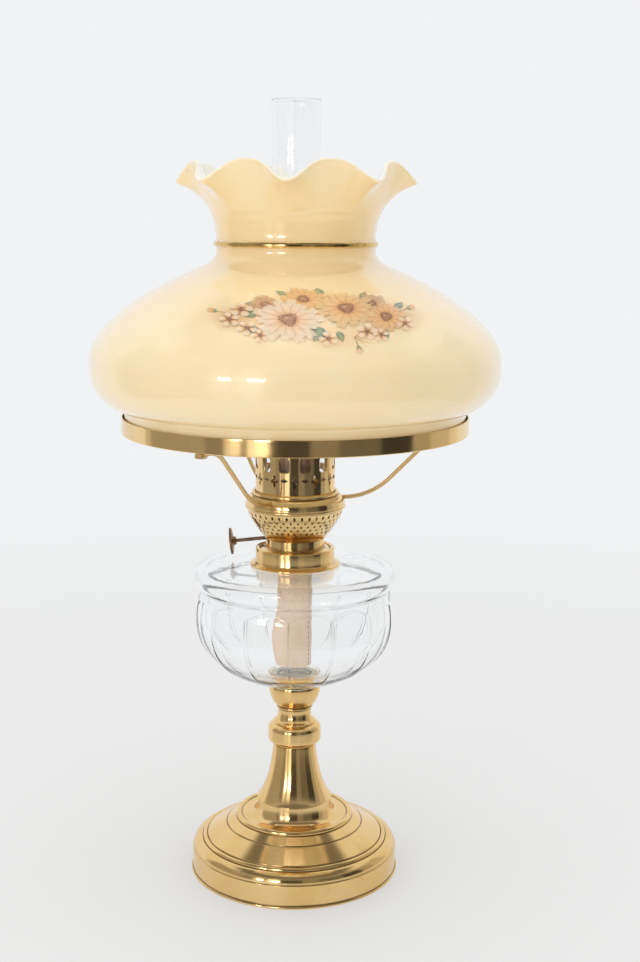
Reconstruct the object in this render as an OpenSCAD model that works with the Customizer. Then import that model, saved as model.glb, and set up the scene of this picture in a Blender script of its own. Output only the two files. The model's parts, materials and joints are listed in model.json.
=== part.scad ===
// Kerosene table lamp: a turned brass foot and stem, a cut glass font, a round-wick burner,
// a glass chimney, and an opal glass shade on a three-armed holder.
// Millimetres, +Z up. The origin is on the table under the lamp's axis and the front faces -Y.

/* [Foot] */
// Radius of the upright wall
foot_r = 74; // [71:0.5:84]
// How far the rolled rim stands out from the wall
foot_rim_out = 1; // [0.5:0.1:2]
// Height of the upright wall
foot_wall_h = 17.3; // [14:0.1:20]
// Radius of the quarter-round above the wall
foot_ovolo = 6.6; // [4:0.1:8]
// Section radius of the small bead above the quarter-round
foot_bead = 1.8; // [1:0.1:2.4]
// Radius of the fine step on the slope
foot_step_r = 48.5; // [46:0.5:54]
// Radius of the raised ring round the middle
foot_ring_r = 40.2; // [38:0.2:43]
// Height of the raised ring's section middle
foot_ring_z = 40; // [37:0.5:43]
// Section radius of the raised ring
foot_ring_t = 2; // [1.2:0.1:2.6]
// Radius of the boss that the stem stands on
boss_r = 25.6; // [24:0.2:28]
// Height of the boss's top above the table
boss_h = 56; // [52:0.5:60]
// Wall of the cast foot
foot_wall = 2.4; // [1.6:0.2:3]
// Thickness of the felt under the foot
felt_t = 3; // [2:0.5:4]
// Radius of the iron weight in the foot
weight_r = 62; // [50:1:66]
// Thickness of the iron weight
weight_h = 11; // [9:0.5:12]

/* [Tie rod] */
// Radius of the rod that draws the foot, stem and cup together
rod_r = 4; // [3:0.25:5]
// Clearance round the rod where it passes through
rod_gap = 0.4; // [0.2:0.1:1]
// Height of the rod's nut
nut_h = 6; // [4:0.5:7]
// Thickness of the washer under the nut
washer_t = 1.6; // [1:0.2:2.4]

/* [Stem] */
// Radius of the trumpet's foot on the boss
stem_foot_r = 25.2; // [22:0.2:28]
// Radius of the trumpet's top
stem_top_r = 15.3; // [13:0.1:17]
// Height of the trumpet
stem_h = 37.5; // [30:0.5:60]
// Wall of the spun trumpet
stem_wall = 2; // [1.2:0.2:2.6]
// Radius of the round knop
knop_r = 19; // [17.5:0.1:22]
// Height of the knop
knop_h = 16; // [14:0.5:22]
// Radius of the fine flange between the knop and the cup
cup_flange_r = 15.4; // [14:0.1:17]
// Smallest radius of the cup's neck
cup_neck_r = 11.9; // [10:0.1:13]
// Radius of the cup's mouth
cup_r = 18.7; // [17.5:0.1:22]
// Height of the cup with its neck
cup_h = 29; // [26:0.5:34]

/* [Font] */
// Radius of the belly
font_r = 70.2; // [62:0.2:80]
// Height of the font from its foot to its flat top
font_h = 87.5; // [84:0.5:104]
// Height of the belly's widest line above the font's foot
belly_h = 50; // [46:0.5:54]
// Radius of the glass foot disc
font_foot_r = 19.6; // [19:0.1:26]
// Depth of the groove under the top ring
font_groove = 4.2; // [3:0.2:5]
// Height of the groove above the belly's widest line
groove_rise = 21; // [18:0.5:22]
// How far the top ring stands out past the belly
font_ring_out = 1.2; // [0.6:0.2:2]
// Wall of the glass
font_wall = 4.2; // [3:0.2:5]
// Thickness of the glass bottom
font_floor = 6; // [5:0.5:9]
// Number of cut panels round the belly
panels = 14; // [10:1:20]
// Share of a panel's width that is cut flat
panel_share = 0.9; // [0.7:0.02:0.96]
// Height at which the panels begin
panel_foot_h = 12; // [8:0.5:14]
// Turn of the panels, so that a ridge is near the front
panel_turn = -2.6; // [-12:0.2:12]
// Radius of the glass peg in the cup
peg_r = 11.2; // [9:0.1:12]
// Depth of the peg in the cup
peg_h = 8; // [6:0.5:9]
// Thickness of the plaster round the peg
cup_plaster_t = 2; // [1:0.2:2.4]

/* [Collar] */
// Radius of the collar's wall
collar_r = 27.9; // [27.2:0.1:31]
// Radius of the collar's flange on the glass
collar_flange_r = 31.7; // [31.2:0.1:36]
// Height of the collar
collar_h = 12.8; // [12:0.2:18]
// Height of the seat for the burner inside the collar
collar_seat_h = 9.7; // [8.5:0.1:10]
// Wall of the collar
collar_wall = 1.2; // [1:0.1:1.6]
// Radius of the throat that the burner screws into
throat_r = 18.9; // [18.5:0.1:19.4]
// Clearance between the burner's spigot and the throat
thread_gap = 0.3; // [0.2:0.05:0.5]
// Wall of the glass neck inside the collar
neck_wall = 3.2; // [2:0.1:3.4]

/* [Burner] */
// Radius of the burner's neck
burner_neck_r = 20.5; // [20.3:0.1:21.4]
// Height of the burner's base from its seat to the basket
burner_base_h = 9.6; // [9:0.1:12]
// Radius of the basket at its rim
basket_r = 34.3; // [32.5:0.1:38]
// Height of the basket
basket_h = 24.1; // [22:0.1:30]
// Thickness of the pressed sheet
sheet = 0.9; // [0.6:0.1:1.2]
// Air holes in each row
air_holes = 36; // [24:1:40]
// Radius of an air hole
air_hole_r = 0.95; // [0.6:0.05:1.1]
// Outside radius of the chimney gallery
gallery_r = 27.85; // [27.2:0.05:29]
// Height of the gallery
gallery_h = 42.6; // [38:0.2:48]
// Height of the chimney's seat above the gallery's foot
chimney_seat_h = 14.6; // [12:0.2:16]
// Number of tines round the gallery
tines = 12; // [8:1:14]
// Width of the arched opening between two tines
arch_w = 7.6; // [6:0.1:8.4]

/* [Wick] */
// Outside radius of the rolled wick
wick_r = 12; // [11:0.1:12.2]
// Thickness of the wick
wick_t = 2.6; // [2:0.1:3]
// Clearance on each side of the wick in its tubes
wick_gap = 0.3; // [0.25:0.05:0.5]
// Wall of the wick tube and the draft tube
tube_wall = 0.6; // [0.5:0.1:0.8]
// Height of the wick tube's mouth above the chimney's seat
tube_rise = 27; // [22:0.5:32]
// How far the wick stands out of its tube
wick_out = 2; // [0:0.5:4]
// How far the wick goes up or down from rest
wick_travel = 6; // [4:0.5:8]
// Swell of the wick's loose end in the font
wick_swell = 4.2; // [0:0.2:4.6]
// Azimuth of the wick's open seam
seam_turn = 30; // [10:5:50]
// Radius of the winding shaft
shaft_r = 1.3; // [1:0.1:1.5]
// Running clearance round the shaft
shaft_gap = 0.05; // [0.03:0.01:0.08]
// Tip radius of the spur wheels
spur_r = 3.3; // [2.8:0.1:3.4]
// How far the winding shaft slopes down to its knob
shaft_droop = 6; // [0:0.5:7]
// Distance of the knob's middle from the lamp's axis
knob_reach = 45; // [40:0.5:60]
// Radius of the knob
knob_r = 9.5; // [8:0.1:11]

/* [Chimney] */
// Radius of the chimney's base
chimney_base_r = 26.2; // [25:0.1:26.4]
// Radius of the chimney above its shoulder
chimney_waist_r = 15.2; // [14:0.1:18]
// Radius of the chimney's mouth
chimney_mouth_r = 16.8; // [16:0.1:22]
// Height of the chimney
chimney_h = 261; // [240:1:300]
// Height of the shoulder's lower end above the chimney's foot
chimney_shoulder_h = 27; // [24:0.5:30]
// Wall of the chimney
chimney_wall = 1.8; // [1.2:0.1:2.4]

/* [Shade holder] */
// Clearance between the holder's collar and the gallery
holder_gap = 0.45; // [0.3:0.05:0.8]
// Radius of the holder's collar
holder_collar_r = 35; // [33.5:0.1:40]
// Height of the holder's collar
holder_collar_h = 10.2; // [9:0.1:12]
// Outside radius of the ring that carries the shade
ring_r = 120.4; // [114:0.2:126]
// Height of the ring's band
ring_h = 11; // [9:0.5:14]
// Height of the ring's underside above the holder's seat
ring_rise = 52.1; // [48:0.5:56]
// Sheet of the ring
ring_t = 1; // [0.8:0.1:1.4]
// Width of the ring's ledge under the shade
ledge_w = 6.5; // [5:0.25:9]
// Radius of the arm wire
wire_r = 1.5; // [1.1:0.05:1.7]
// Radius of the arm's lower bend
arm_low_bend = 46; // [30:1:50]
// Radius of the arm's upper bend
arm_top_bend = 16; // [10:1:20]
// Straight run of the arm under the ring
arm_end = 10; // [8:0.5:14]
// Azimuth of the first arm
arm_turn = 0.5; // [-20:0.5:20]

/* [Shade] */
// Clearance between the shade's fitter rim and the ring
fitter_gap = 1.2; // [0.5:0.1:2]
// Height of the fitter rim
fitter_h = 15.8; // [13:0.2:20]
// Largest radius of the shade
shade_r = 141.4; // [132:0.2:154]
// Height of the shade's neck bead above its foot
shade_neck_h = 127.2; // [118:0.2:140]
// Height of the shade's widest line above its foot
shade_belly_h = 43.5; // [38:0.5:50]
// Radius of the shade's neck
shade_neck_r = 54.4; // [46:0.2:62]
// Wall of the glass
shade_wall = 3.2; // [2.4:0.1:4]
// Section radius of the bead round the neck
bead_r = 2.5; // [1.8:0.1:3]
// Height of the ruffled crown above the neck bead
crown_h = 47; // [36:0.5:56]
// Mean radius of the crown's rim
crown_r = 75.5; // [68:0.5:86]
// How far the rim swings out and in
ruffle_out = 5; // [0:0.5:8]
// How far the rim swings down and up
ruffle_drop = 6.3; // [0:0.2:9]
// Number of lobes round the crown
lobes = 8; // [4:1:10]
// Azimuth of one spout of the crown
lobe_turn = -97; // [-120:1:-60]

/* [Hidden] */
$fn = 72;
boss_top = boss_h;
knop_z = boss_top + stem_h;
cup_z = knop_z + knop_h;
font_z = cup_z + cup_h;
collar_z = font_z + font_h;
burner_z = collar_z + collar_seat_h;
basket_z = burner_z + burner_base_h;
gallery_z = basket_z + basket_h;
chimney_z = gallery_z + chimney_seat_h;
tube_top = chimney_z + tube_rise;
ring_z = gallery_z + ring_rise;
shade_z = ring_z + ring_t;
rod_hole = rod_r + rod_gap;
// The foot's profile, from its rim to the raised ring
ovolo_r = foot_r - 0.6 - foot_ovolo;
ovolo_z = foot_wall_h + foot_ovolo;
slope_r = ovolo_r - 2 * foot_bead - 0.4;
slope_z = ovolo_z + foot_bead + 0.9;
ring_foot_r = foot_ring_r + foot_ring_t + 0.5;
ring_foot_z = foot_ring_z - 0.85 * foot_ring_t;
step_z = slope_z + (ring_foot_z - slope_z) * (slope_r - foot_step_r) / (slope_r - ring_foot_r);
under_ring_z = foot_ring_z - foot_ring_t - foot_wall;
// The nut's pocket in the weight
pocket_r = 13;
pocket_top = felt_t + nut_h + washer_t + 2;
// Radii that follow each other from the wick outwards
wick_in = wick_r - wick_t;
wick_tube_in = wick_r + wick_gap;
wick_tube_out = wick_tube_in + tube_wall;
draft_out = wick_in - wick_gap;
shaft_y = wick_r + 0.3 + spur_r;
shaft_z = basket_z - 1.8;
wick_top = tube_top + wick_out;
wick_foot = font_z + font_floor + wick_travel + 0.8;
seam = 20;
web_w = 4.4;
inlet_w = 2.2;
inlet_z = gallery_z - 10;
inlet_h = 14;
// The glass neck inside the collar
neck_in = throat_r + collar_wall + 0.4;
neck_out = neck_in + neck_wall;
neck_h = collar_seat_h - collar_wall - 0.3;
recess_r = collar_r - 3;
// The holder and the shade
holder_bore = gallery_r + holder_gap;
ledge_r = ring_r - ring_t - ledge_w;
fitter_r = ring_r - ring_t - fitter_gap;
arm_z = 5;
arm_start = holder_collar_r - 1.5;
arm_stop = ring_r - ring_t - 1 - arm_end;
arm_rise = ring_rise - wire_r - arm_z;
bends = arm_low_bend + arm_top_bend;
arm_span = norm([arm_stop - arm_start, arm_rise - bends]);
arm_slope = atan2(arm_rise - bends, arm_stop - arm_start) + asin(bends / arm_span);
arm_run = sqrt(arm_span * arm_span - bends * bends);
arm_turns = [arm_turn, arm_turn + 120, arm_turn + 240];

brass = [0.80, 0.62, 0.25];
dark_brass = [0.42, 0.33, 0.22];
steel = [0.62, 0.62, 0.62];
clear_glass = [0.86, 0.92, 0.92, 0.35];
plaster = [0.88, 0.86, 0.80];

// Points of an arc about c, from angle a0 to a1
function arc(c, r, a0, a1, n = 8) =
    [for (i = [0 : n]) let(a = a0 + (a1 - a0) * i / n) c + r * [cos(a), sin(a)]];

// Points of a cubic curve with the four given control points
function curve(p, n = 12) =
    [for (i = [0 : n]) let(t = i / n, u = 1 - t)
        u * u * u * p[0] + 3 * u * u * t * p[1] + 3 * u * t * t * p[2] + t * t * t * p[3]];

// A path moved sideways by t, to the left of its direction
function inset(p, t) =
    [for (i = [0 : len(p) - 1])
        let(d = p[min(i + 1, len(p) - 1)] - p[max(i - 1, 0)], u = d / norm(d))
        p[i] + t * [-u[1], u[0]]];

function reversed(p) = [for (i = [len(p) - 1 : -1 : 0]) p[i]];
function raised(p, z) = [for (q = p) q + [0, z]];
function radius_at(p, z) = lookup(z, [for (q = p) [q[1], q[0]]]);
function bump(x) = x <= 0 || x >= 1 ? 0 : (1 - cos(360 * x)) / 2;
function ease(x) = let(t = min(max(x, 0), 1)) t * t * (3 - 2 * t);

module lathe(profile) {
    rotate_extrude() polygon(profile);
}

// A tube of inner radius a, outer radius b, from z0 to z1
module tube(a, b, z0, z1) {
    lathe([[a, z0], [b, z0], [b, z1], [a, z1]]);
}

// Places its children with +Z along the winding shaft, towards the knob
module along_shaft() {
    translate([0, shaft_y, shaft_z])
        rotate([0, -90 - shaft_droop, 0]) children();
}

module around(angles) {
    for (a = angles)
        rotate([0, 0, a]) children();
}

// A closed skin over rings of points, each ring counterclockwise seen from above
module skin(rings, closed) {
    m = len(rings[0]);
    n = len(rings);
    half = m / 2;
    last = (n - 1) * m;
    sides = [for (k = [0 : closed ? n - 1 : n - 2]) for (j = [0 : m - 1])
        let(a = k * m + j, b = k * m + (j + 1) % m, c = ((k + 1) % n) * m + (j + 1) % m,
            d = ((k + 1) % n) * m + j)
        each [[a, d, c], [a, c, b]]];
    ends = closed ? [] : [for (i = [0 : half - 2])
        let(p = i, q = i + 1, r = m - 2 - i, s = m - 1 - i)
        each [[p, q, r], [p, r, s], [last + p, last + r, last + q], [last + p, last + s, last + r]]];
    polyhedron([for (r = rings) each r], concat(sides, ends), convexity = 6);
}

// The cast foot: rolled rim, wall, quarter-round, bead, slope, raised ring and boss
module foot_shell() {
    dish = foot_ring_z + 0.6;
    boss_rise = boss_top - dish;
    outer = concat(
        arc([foot_r, foot_rim_out], foot_rim_out, -90, 90, 6),
        [[foot_r, foot_wall_h - 0.6], [foot_r - 0.6, foot_wall_h]],
        arc([ovolo_r, foot_wall_h], foot_ovolo, 6, 90, 8),
        [[ovolo_r - 0.1, ovolo_z - 0.6]],
        arc([ovolo_r - foot_bead - 0.3, ovolo_z + 0.4], foot_bead, -20, 140, 8),
        [[slope_r, slope_z], [foot_step_r + 0.2, step_z - 0.3], [foot_step_r - 0.2, step_z + 0.2]],
        [[ring_foot_r, ring_foot_z]],
        arc([foot_ring_r, foot_ring_z], foot_ring_t, -35, 160, 10),
        curve([[boss_r + 8.4, dish - 0.1], [boss_r + 3.6, dish], [boss_r + 3.2, dish + 0.46 * boss_rise],
               [boss_r + 0.3, boss_top - 1]], 12),
        [[boss_r, boss_top], [rod_hole, boss_top]]);
    inner = [[rod_hole, boss_top - foot_wall], [boss_r - foot_wall, boss_top - foot_wall],
             [boss_r - foot_wall, under_ring_z], [foot_ring_r, under_ring_z],
             [slope_r, ovolo_z - foot_wall - 0.8], [foot_r - foot_wall, foot_wall_h - 2 * foot_wall],
             [foot_r - foot_wall, 0]];
    color(brass) lathe(concat(outer, inner));
}

// The ballast disc with a hub that bears on the boss from below
module foot_weight() {
    top = felt_t + weight_h;
    color([0.25, 0.25, 0.26]) lathe([
        [rod_hole, pocket_top], [pocket_r, pocket_top], [pocket_r, felt_t], [weight_r, felt_t],
        [weight_r, top - 2], [weight_r - 2, top], [pocket_r + 8, top + 2], [pocket_r + 2, top + 6],
        [pocket_r + 2, boss_top - foot_wall], [rod_hole, boss_top - foot_wall]]);
}

module foot_felt() {
    color([0.16, 0.28, 0.18]) cylinder(r = foot_r - foot_wall - 0.3, h = felt_t);
}

module tie_rod() {
    color(steel) translate([0, 0, felt_t + 1])
        cylinder(r = rod_r, h = cup_z + 10 - felt_t - 1);
}

module rod_washer() {
    color(steel) tube(rod_r + 0.2, pocket_r - 2, pocket_top - washer_t, pocket_top);
}

module rod_nut() {
    color(steel) translate([0, 0, pocket_top - washer_t - nut_h])
        difference() {
            cylinder(r = rod_r * 1.9, h = nut_h, $fn = 6);
            translate([0, 0, -1]) cylinder(r = rod_r + 0.05, h = nut_h + 2);
        }
}

// The spun trumpet, hollow below its thick top
module stem_trumpet() {
    d = stem_foot_r - stem_top_r;
    flare = curve([[stem_foot_r - 0.2, 0.9], [stem_top_r + 0.42 * d, 0.25 * stem_h],
                   [stem_top_r + 0.08 * d, 0.58 * stem_h], [stem_top_r, stem_h]], 16);
    hollow = [for (p = inset(flare, stem_wall)) if (p[1] < stem_h - 5) p];
    color(brass) translate([0, 0, boss_top])
        lathe(concat([[stem_foot_r - stem_wall - 1, 0], [stem_foot_r - 0.3, 0], [stem_foot_r, 0.3],
                      [stem_foot_r, 0.7]], flare,
                     [[rod_hole, stem_h], [rod_hole, stem_h - 4]], reversed(hollow)));
}

module stem_knop() {
    color(brass) translate([0, 0, knop_z])
        lathe(concat([[rod_hole, 0], [stem_top_r - 0.2, 0], [stem_top_r, 0.3], [stem_top_r, 1.2]],
                     arc([knop_r - 3.4, 4.6], 3.4, -50, 0, 6),
                     arc([knop_r - 4.2, knop_h - 4.6], 4.2, 0, 62, 6),
                     [[cup_flange_r - 0.4, knop_h], [rod_hole, knop_h]]));
}

// The cup with its waisted neck, which takes the rod from below and the peg from above
module font_cup() {
    bore = peg_r + cup_plaster_t;
    color(brass) translate([0, 0, cup_z])
        lathe(concat([[rod_r + 0.05, 0], [cup_flange_r - 0.3, 0], [cup_flange_r, 0.4],
                      [cup_flange_r, 1.2], [cup_flange_r - 0.5, 1.6]],
                     curve([[cup_flange_r - 0.9, 1.8], [cup_neck_r + 0.4, 3.2], [cup_neck_r, 5],
                            [cup_neck_r, 8]], 8),
                     [[cup_neck_r + 0.3, 11.2]],
                     arc([cup_neck_r + 0.2, 12.1], 0.9, -60, 60, 5),
                     curve([[cup_neck_r + 0.8, 13.1], [cup_neck_r + 3.6, 15.2], [cup_r - 0.6, cup_h - 10],
                            [cup_r, cup_h - 1.2]], 10),
                     [[cup_r - 0.2, cup_h], [bore, cup_h], [bore, cup_h - peg_h - 0.6],
                      [rod_r + 0.05, cup_h - peg_h - 0.6]]));
}

module cup_plaster() {
    bore = peg_r + cup_plaster_t;
    color(plaster) translate([0, 0, font_z])
        lathe([[0, -peg_h - 0.6], [bore - 0.05, -peg_h - 0.6], [bore - 0.05, -0.05], [peg_r + 0.05, -0.05],
               [peg_r + 0.05, -peg_h - 0.05], [0, -peg_h - 0.05]]);
}

// The font's outer line from its foot to the widest line, heights above its foot
function belly_line(n = 14) = curve([[font_foot_r + 0.9, 2.4], [font_r * 0.655, 0.15 * belly_h],
                               [font_r, 0.43 * belly_h], [font_r, belly_h]], n);
groove_h = belly_h + groove_rise;

// The outer line from the widest line up to the groove
function shoulder_line(n = 7) = curve([[font_r - 0.1, belly_h + 2], [font_r - 0.9, belly_h + 8],
                                [font_r - 1.6, groove_h - 4], [font_r - font_groove, groove_h - 0.4]], n);

function font_outer() = concat(
    [[peg_r, -peg_h], [peg_r, 0], [font_foot_r - 0.6, 0], [font_foot_r, 0.6], [font_foot_r, 1.8]],
    belly_line(),
    shoulder_line(),
    curve([[font_r - font_groove, groove_h + 0.4], [font_r + 0.5 * font_ring_out, groove_h + 0.6],
           [font_r + 4.4 * font_ring_out, font_h - 3], [font_r - 5, font_h - 0.6]], 12),
    [[font_r - 14, font_h], [neck_out, font_h], [neck_out, font_h + neck_h], [neck_in, font_h + neck_h]]);

function font_inner() = concat(
    [[neck_in, font_h - font_wall], [font_r - 14, font_h - font_wall]],
    curve([[font_r - 10, font_h - font_wall - 0.6], [font_r - 1.2, font_h - font_wall - 2.3],
           [font_r - 1.6, groove_h + 4], [font_r - font_groove - font_wall, groove_h]], 8),
    [[font_r - font_wall - 2, groove_h - 5]],
    reversed(curve([[16, font_floor + 0.4], [font_r * 0.655, font_floor + 0.13 * belly_h],
                    [font_r - font_wall, 0.48 * belly_h], [font_r - font_wall, belly_h]], 12)),
    [[0, font_floor]]);

// One flat cut: the space outside a panel, which fades out below the groove and leaves a fine ridge
module panel_cut() {
    top = groove_h - 3;
    belly = [for (p = belly_line(11)) if (p[1] > panel_foot_h + 1 && p[1] < belly_h - 0.5) p];
    shoulder = [for (p = shoulder_line(5)) if (p[1] > belly_h + 3 && p[1] < top - 5) p];
    keep = cos(panel_share * 180 / panels);
    face = [for (p = concat(belly, shoulder))
        [p[0] * (1 - (1 - keep) * ease((p[1] - panel_foot_h) / 6)), p[1]]];
    fade = [[radius_at(shoulder_line(), top) + 0.6, top]];
    rotate([90, 0, 0])
        linear_extrude(height = 2.6 * font_r * sin(180 / panels), center = true)
            polygon(concat(face, fade, [[font_r + 6, top], [font_r + 6, belly[0][1]]]));
}

module font_glass() {
    color(clear_glass) translate([0, 0, font_z])
        difference() {
            lathe(concat([[0, -peg_h]], font_outer(), font_inner()));
            rotate([0, 0, -90 + panel_turn + 180 / panels])
                around([for (i = [0 : panels - 1]) i * 360 / panels]) panel_cut();
        }
}

module collar_plaster() {
    color(plaster) translate([0, 0, collar_z])
        tube(neck_out + 0.05, collar_r - collar_wall - 0.05, 0, neck_h);
}

// The collar: flange, wall with a rolled rim, seat and throat
module font_collar() {
    color(brass) translate([0, 0, collar_z])
        lathe(concat([[collar_r - collar_wall, 0], [collar_flange_r - 0.5, 0]],
                     arc([collar_flange_r - 0.8, 0.8], 0.8, -40, 70, 5),
                     curve([[collar_r + 2.2, 1.8], [collar_r + 0.7, 2.2], [collar_r + 0.1, 2.8],
                            [collar_r, 4.4]], 5),
                     arc([collar_r - 1.3, collar_h - 1.3], 1.3, 0, 90, 6),
                     arc([recess_r + 0.7, collar_h - 0.7], 0.7, 90, 180, 4),
                     [[recess_r, collar_seat_h], [throat_r, collar_seat_h], [throat_r, 0.6],
                      [throat_r + collar_wall, 0.6], [throat_r + collar_wall, collar_seat_h - collar_wall],
                      [collar_r - collar_wall, collar_seat_h - collar_wall]]));
}

// The burner's base: spigot in the throat, flange on the seat, and neck
module burner_base() {
    spigot_r = throat_r - thread_gap;
    in_r = burner_neck_r - sheet;
    color(brass) translate([0, 0, burner_z])
        difference() {
            lathe([[spigot_r - 1.6, -7], [spigot_r, -7], [spigot_r, 0], [recess_r - 0.8, 0],
                   [recess_r - 0.5, 0.3], [recess_r - 0.5, 2], [recess_r - 1, 2.5], [burner_neck_r + 0.8, 2.8],
                   [burner_neck_r, 3.6], [burner_neck_r, burner_base_h], [in_r, burner_base_h], [in_r, 2.2],
                   [spigot_r - 1.6, 2.2]]);
            translate([0, 0, -burner_z]) along_shaft()
                cylinder(r = 2 * shaft_r + 0.05, h = 2 * burner_neck_r);
        }
}

// The bush that carries the shaft through the neck's wall
module shaft_bush() {
    reach = sqrt(burner_neck_r * burner_neck_r - shaft_y * shaft_y);
    color(brass) along_shaft()
        tube(shaft_r + shaft_gap, 2 * shaft_r, reach - 3, reach + 4.5);
}

// The basket's outer line, heights above its foot, with one straight stretch for each row of holes
function basket_row(i) = 0.3 + 0.1325 * i;
function basket_line() =
    [for (u = concat([0, 0.11], [for (i = [0 : 5]) basket_row(i - 0.5)], [0.925]))
        [burner_neck_r + 0.2 + (basket_r - burner_neck_r) * (1 - pow(1 - u, 1.5)), u * basket_h]];

// The pierced bowl, with a flange that carries the gallery and the holder
module burner_basket() {
    line = basket_line();
    stagger = [0, 0, 0.5, 0, 0];
    color(brass) translate([0, 0, basket_z])
        difference() {
            lathe(concat([[burner_neck_r - sheet, 0]], line,
                         arc([basket_r, basket_h - 1], 1, -80, 90, 8),
                         [[gallery_r - 2.2, basket_h], [gallery_r - 2.2, basket_h - sheet]],
                         [for (p = reversed(inset(line, sheet))) if (p[1] < basket_h - sheet - 0.4) p]));
            for (i = [0 : 4])
                around([for (k = [0 : air_holes - 1]) -90 + (k + stagger[i]) * 360 / air_holes])
                    translate([radius_at(line, basket_row(i) * basket_h), 0, basket_row(i) * basket_h])
                        rotate([0, 90 - 24, 0])
                            cylinder(r = air_hole_r, h = 6, center = true, $fn = 16);
        }
}

// The plate across the basket that holds the wick tube upright
module burner_floor() {
    z = 3.4;
    wall = inset(basket_line(), sheet);
    color(brass) translate([0, 0, basket_z])
        difference() {
            lathe([[wick_tube_out + 0.05, z], [radius_at(wall, z) - 0.15, z],
                   [radius_at(wall, z + 1) - 0.15, z + 1], [wick_tube_out + 0.05, z + 1]]);
            around([for (i = [0 : 11]) 15 + i * 30])
                translate([18, 0, z - 1]) cylinder(r = 1.7, h = 3, $fn = 24);
        }
}

// The outer tube round the wick, with windows for the spur wheels and the draft inlet
module wick_tube() {
    color(dark_brass)
        difference() {
            tube(wick_tube_in, wick_tube_out, burner_z - 2, tube_top);
            for (s = [-1, 1])
                translate([s * 4.5 - 1.6, wick_tube_in - 3, shaft_z - spur_r - 1])
                    cube([3.2, 6, 2 * spur_r + 2]);
            rotate([0, 0, seam_turn])
                translate([wick_tube_out - 3, -inlet_w / 2, inlet_z + 1]) cube([4, inlet_w, inlet_h]);
        }
}

// The inner tube, held by a web through the wick's seam that also lets the draft in
module draft_tube() {
    color(dark_brass) rotate([0, 0, seam_turn])
        difference() {
            union() {
                tube(draft_out - tube_wall, draft_out, inlet_z, tube_top);
                intersection() {
                    translate([1, -web_w / 2, inlet_z]) cube([wick_tube_in, web_w, inlet_h + 8]);
                    tube(draft_out - tube_wall / 2, wick_tube_in - 0.03, inlet_z - 1, inlet_z + inlet_h + 9);
                }
            }
            translate([1, -inlet_w / 2, inlet_z + 1]) cube([wick_tube_out, inlet_w, inlet_h]);
        }
}

// One keyhole-shaped opening between two tines, drawn flat with its foot at zero
module tine_gap() {
    w = arch_w / 2;
    top = gallery_h - chimney_seat_h - 10;
    polygon(concat(arc([-w + 2, 2], 2, 180, 270, 4), arc([w - 2, 2], 2, 270, 360, 4),
                   [[w, 8], [w - 0.9, 10], [w - 0.9, 13], [w + 0.7, top - 3], [w + 2.2, top + 3],
                    [-w - 2.2, top + 3], [-w - 0.7, top - 3], [-w + 0.9, 13], [-w + 0.9, 10], [-w, 8]]));
}

// A small spade-shaped piercing at the foot of a tine
module spade() {
    polygon(concat([[0, -2.6]], arc([1, 0.2], 1.1, -40, 140, 6), [[0, 2.4]], arc([-1, 0.2], 1.1, 40, 220, 6)));
}

module gallery() {
    inner = gallery_r - sheet;
    pitch = 360 / tines;
    arch_z = chimney_seat_h + 11.5;
    color(brass) translate([0, 0, gallery_z])
        difference() {
            lathe([[inner, 0], [gallery_r, 0], [gallery_r, gallery_h], [inner, gallery_h],
                   [inner, chimney_seat_h], [inner - 3, chimney_seat_h], [inner - 3, chimney_seat_h - sheet],
                   [inner, chimney_seat_h - sheet]]);
            around([for (i = [0 : tines - 1]) -90 + (i + 0.5) * pitch])
                translate([gallery_r - 4, 0, arch_z]) rotate([90, 0, 90])
                    linear_extrude(height = 8) tine_gap();
            around([for (i = [0 : tines - 1]) -90 + (i + 0.5) * pitch])
                translate([gallery_r - 4, 0, chimney_seat_h + 6]) rotate([90, 0, 90])
                    linear_extrude(height = 8) polygon([[0, -2.6], [1.5, 0], [0, 2.6], [-1.5, 0]]);
            around([for (i = [0 : tines - 1]) -90 + i * pitch])
                translate([gallery_r - 4, 0, chimney_seat_h + 4.2]) rotate([90, 0, 90])
                    linear_extrude(height = 8) spade();
        }
}

module wick_shaft() {
    color(steel) along_shaft()
        translate([0, 0, -8]) cylinder(r = shaft_r, h = knob_reach + 8);
}

// Two spur wheels that grip the wick through the tube's windows
module spur_wheels() {
    teeth = 12;
    star = [for (i = [0 : 2 * teeth - 1]) let(a = i * 180 / teeth, r = i % 2 ? spur_r - 0.8 : spur_r)
            r * [cos(a), sin(a)]];
    color(dark_brass) along_shaft()
        for (s = [-1, 1])
            translate([0, 0, s * 4.5 - 0.8])
                difference() {
                    linear_extrude(height = 1.6) polygon(star);
                    translate([0, 0, -1]) cylinder(r = shaft_r + 0.02, h = 4);
                }
}

// The dished knob with a scalloped edge and a hub
module wick_knob() {
    scallops = 18;
    color(dark_brass) along_shaft() translate([0, 0, knob_reach])
        difference() {
            lathe([[0, 0], [2.6, -2.4], [3, -1.6], [3.2, -0.6], [knob_r - 1.4, 0.2], [knob_r, 0.7],
                   [knob_r, 1.9], [knob_r - 1.2, 2.1], [knob_r - 1.8, 1.5], [3.4, 0.9], [2.6, 2.6], [0, 3]]);
            translate([0, 0, -4]) cylinder(r = shaft_r + 0.02, h = 4);
            around([for (i = [0 : scallops - 1]) i * 360 / scallops])
                translate([knob_r + 0.5, 0, -1]) cylinder(r = 0.9, h = 5, $fn = 20);
        }
}

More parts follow.
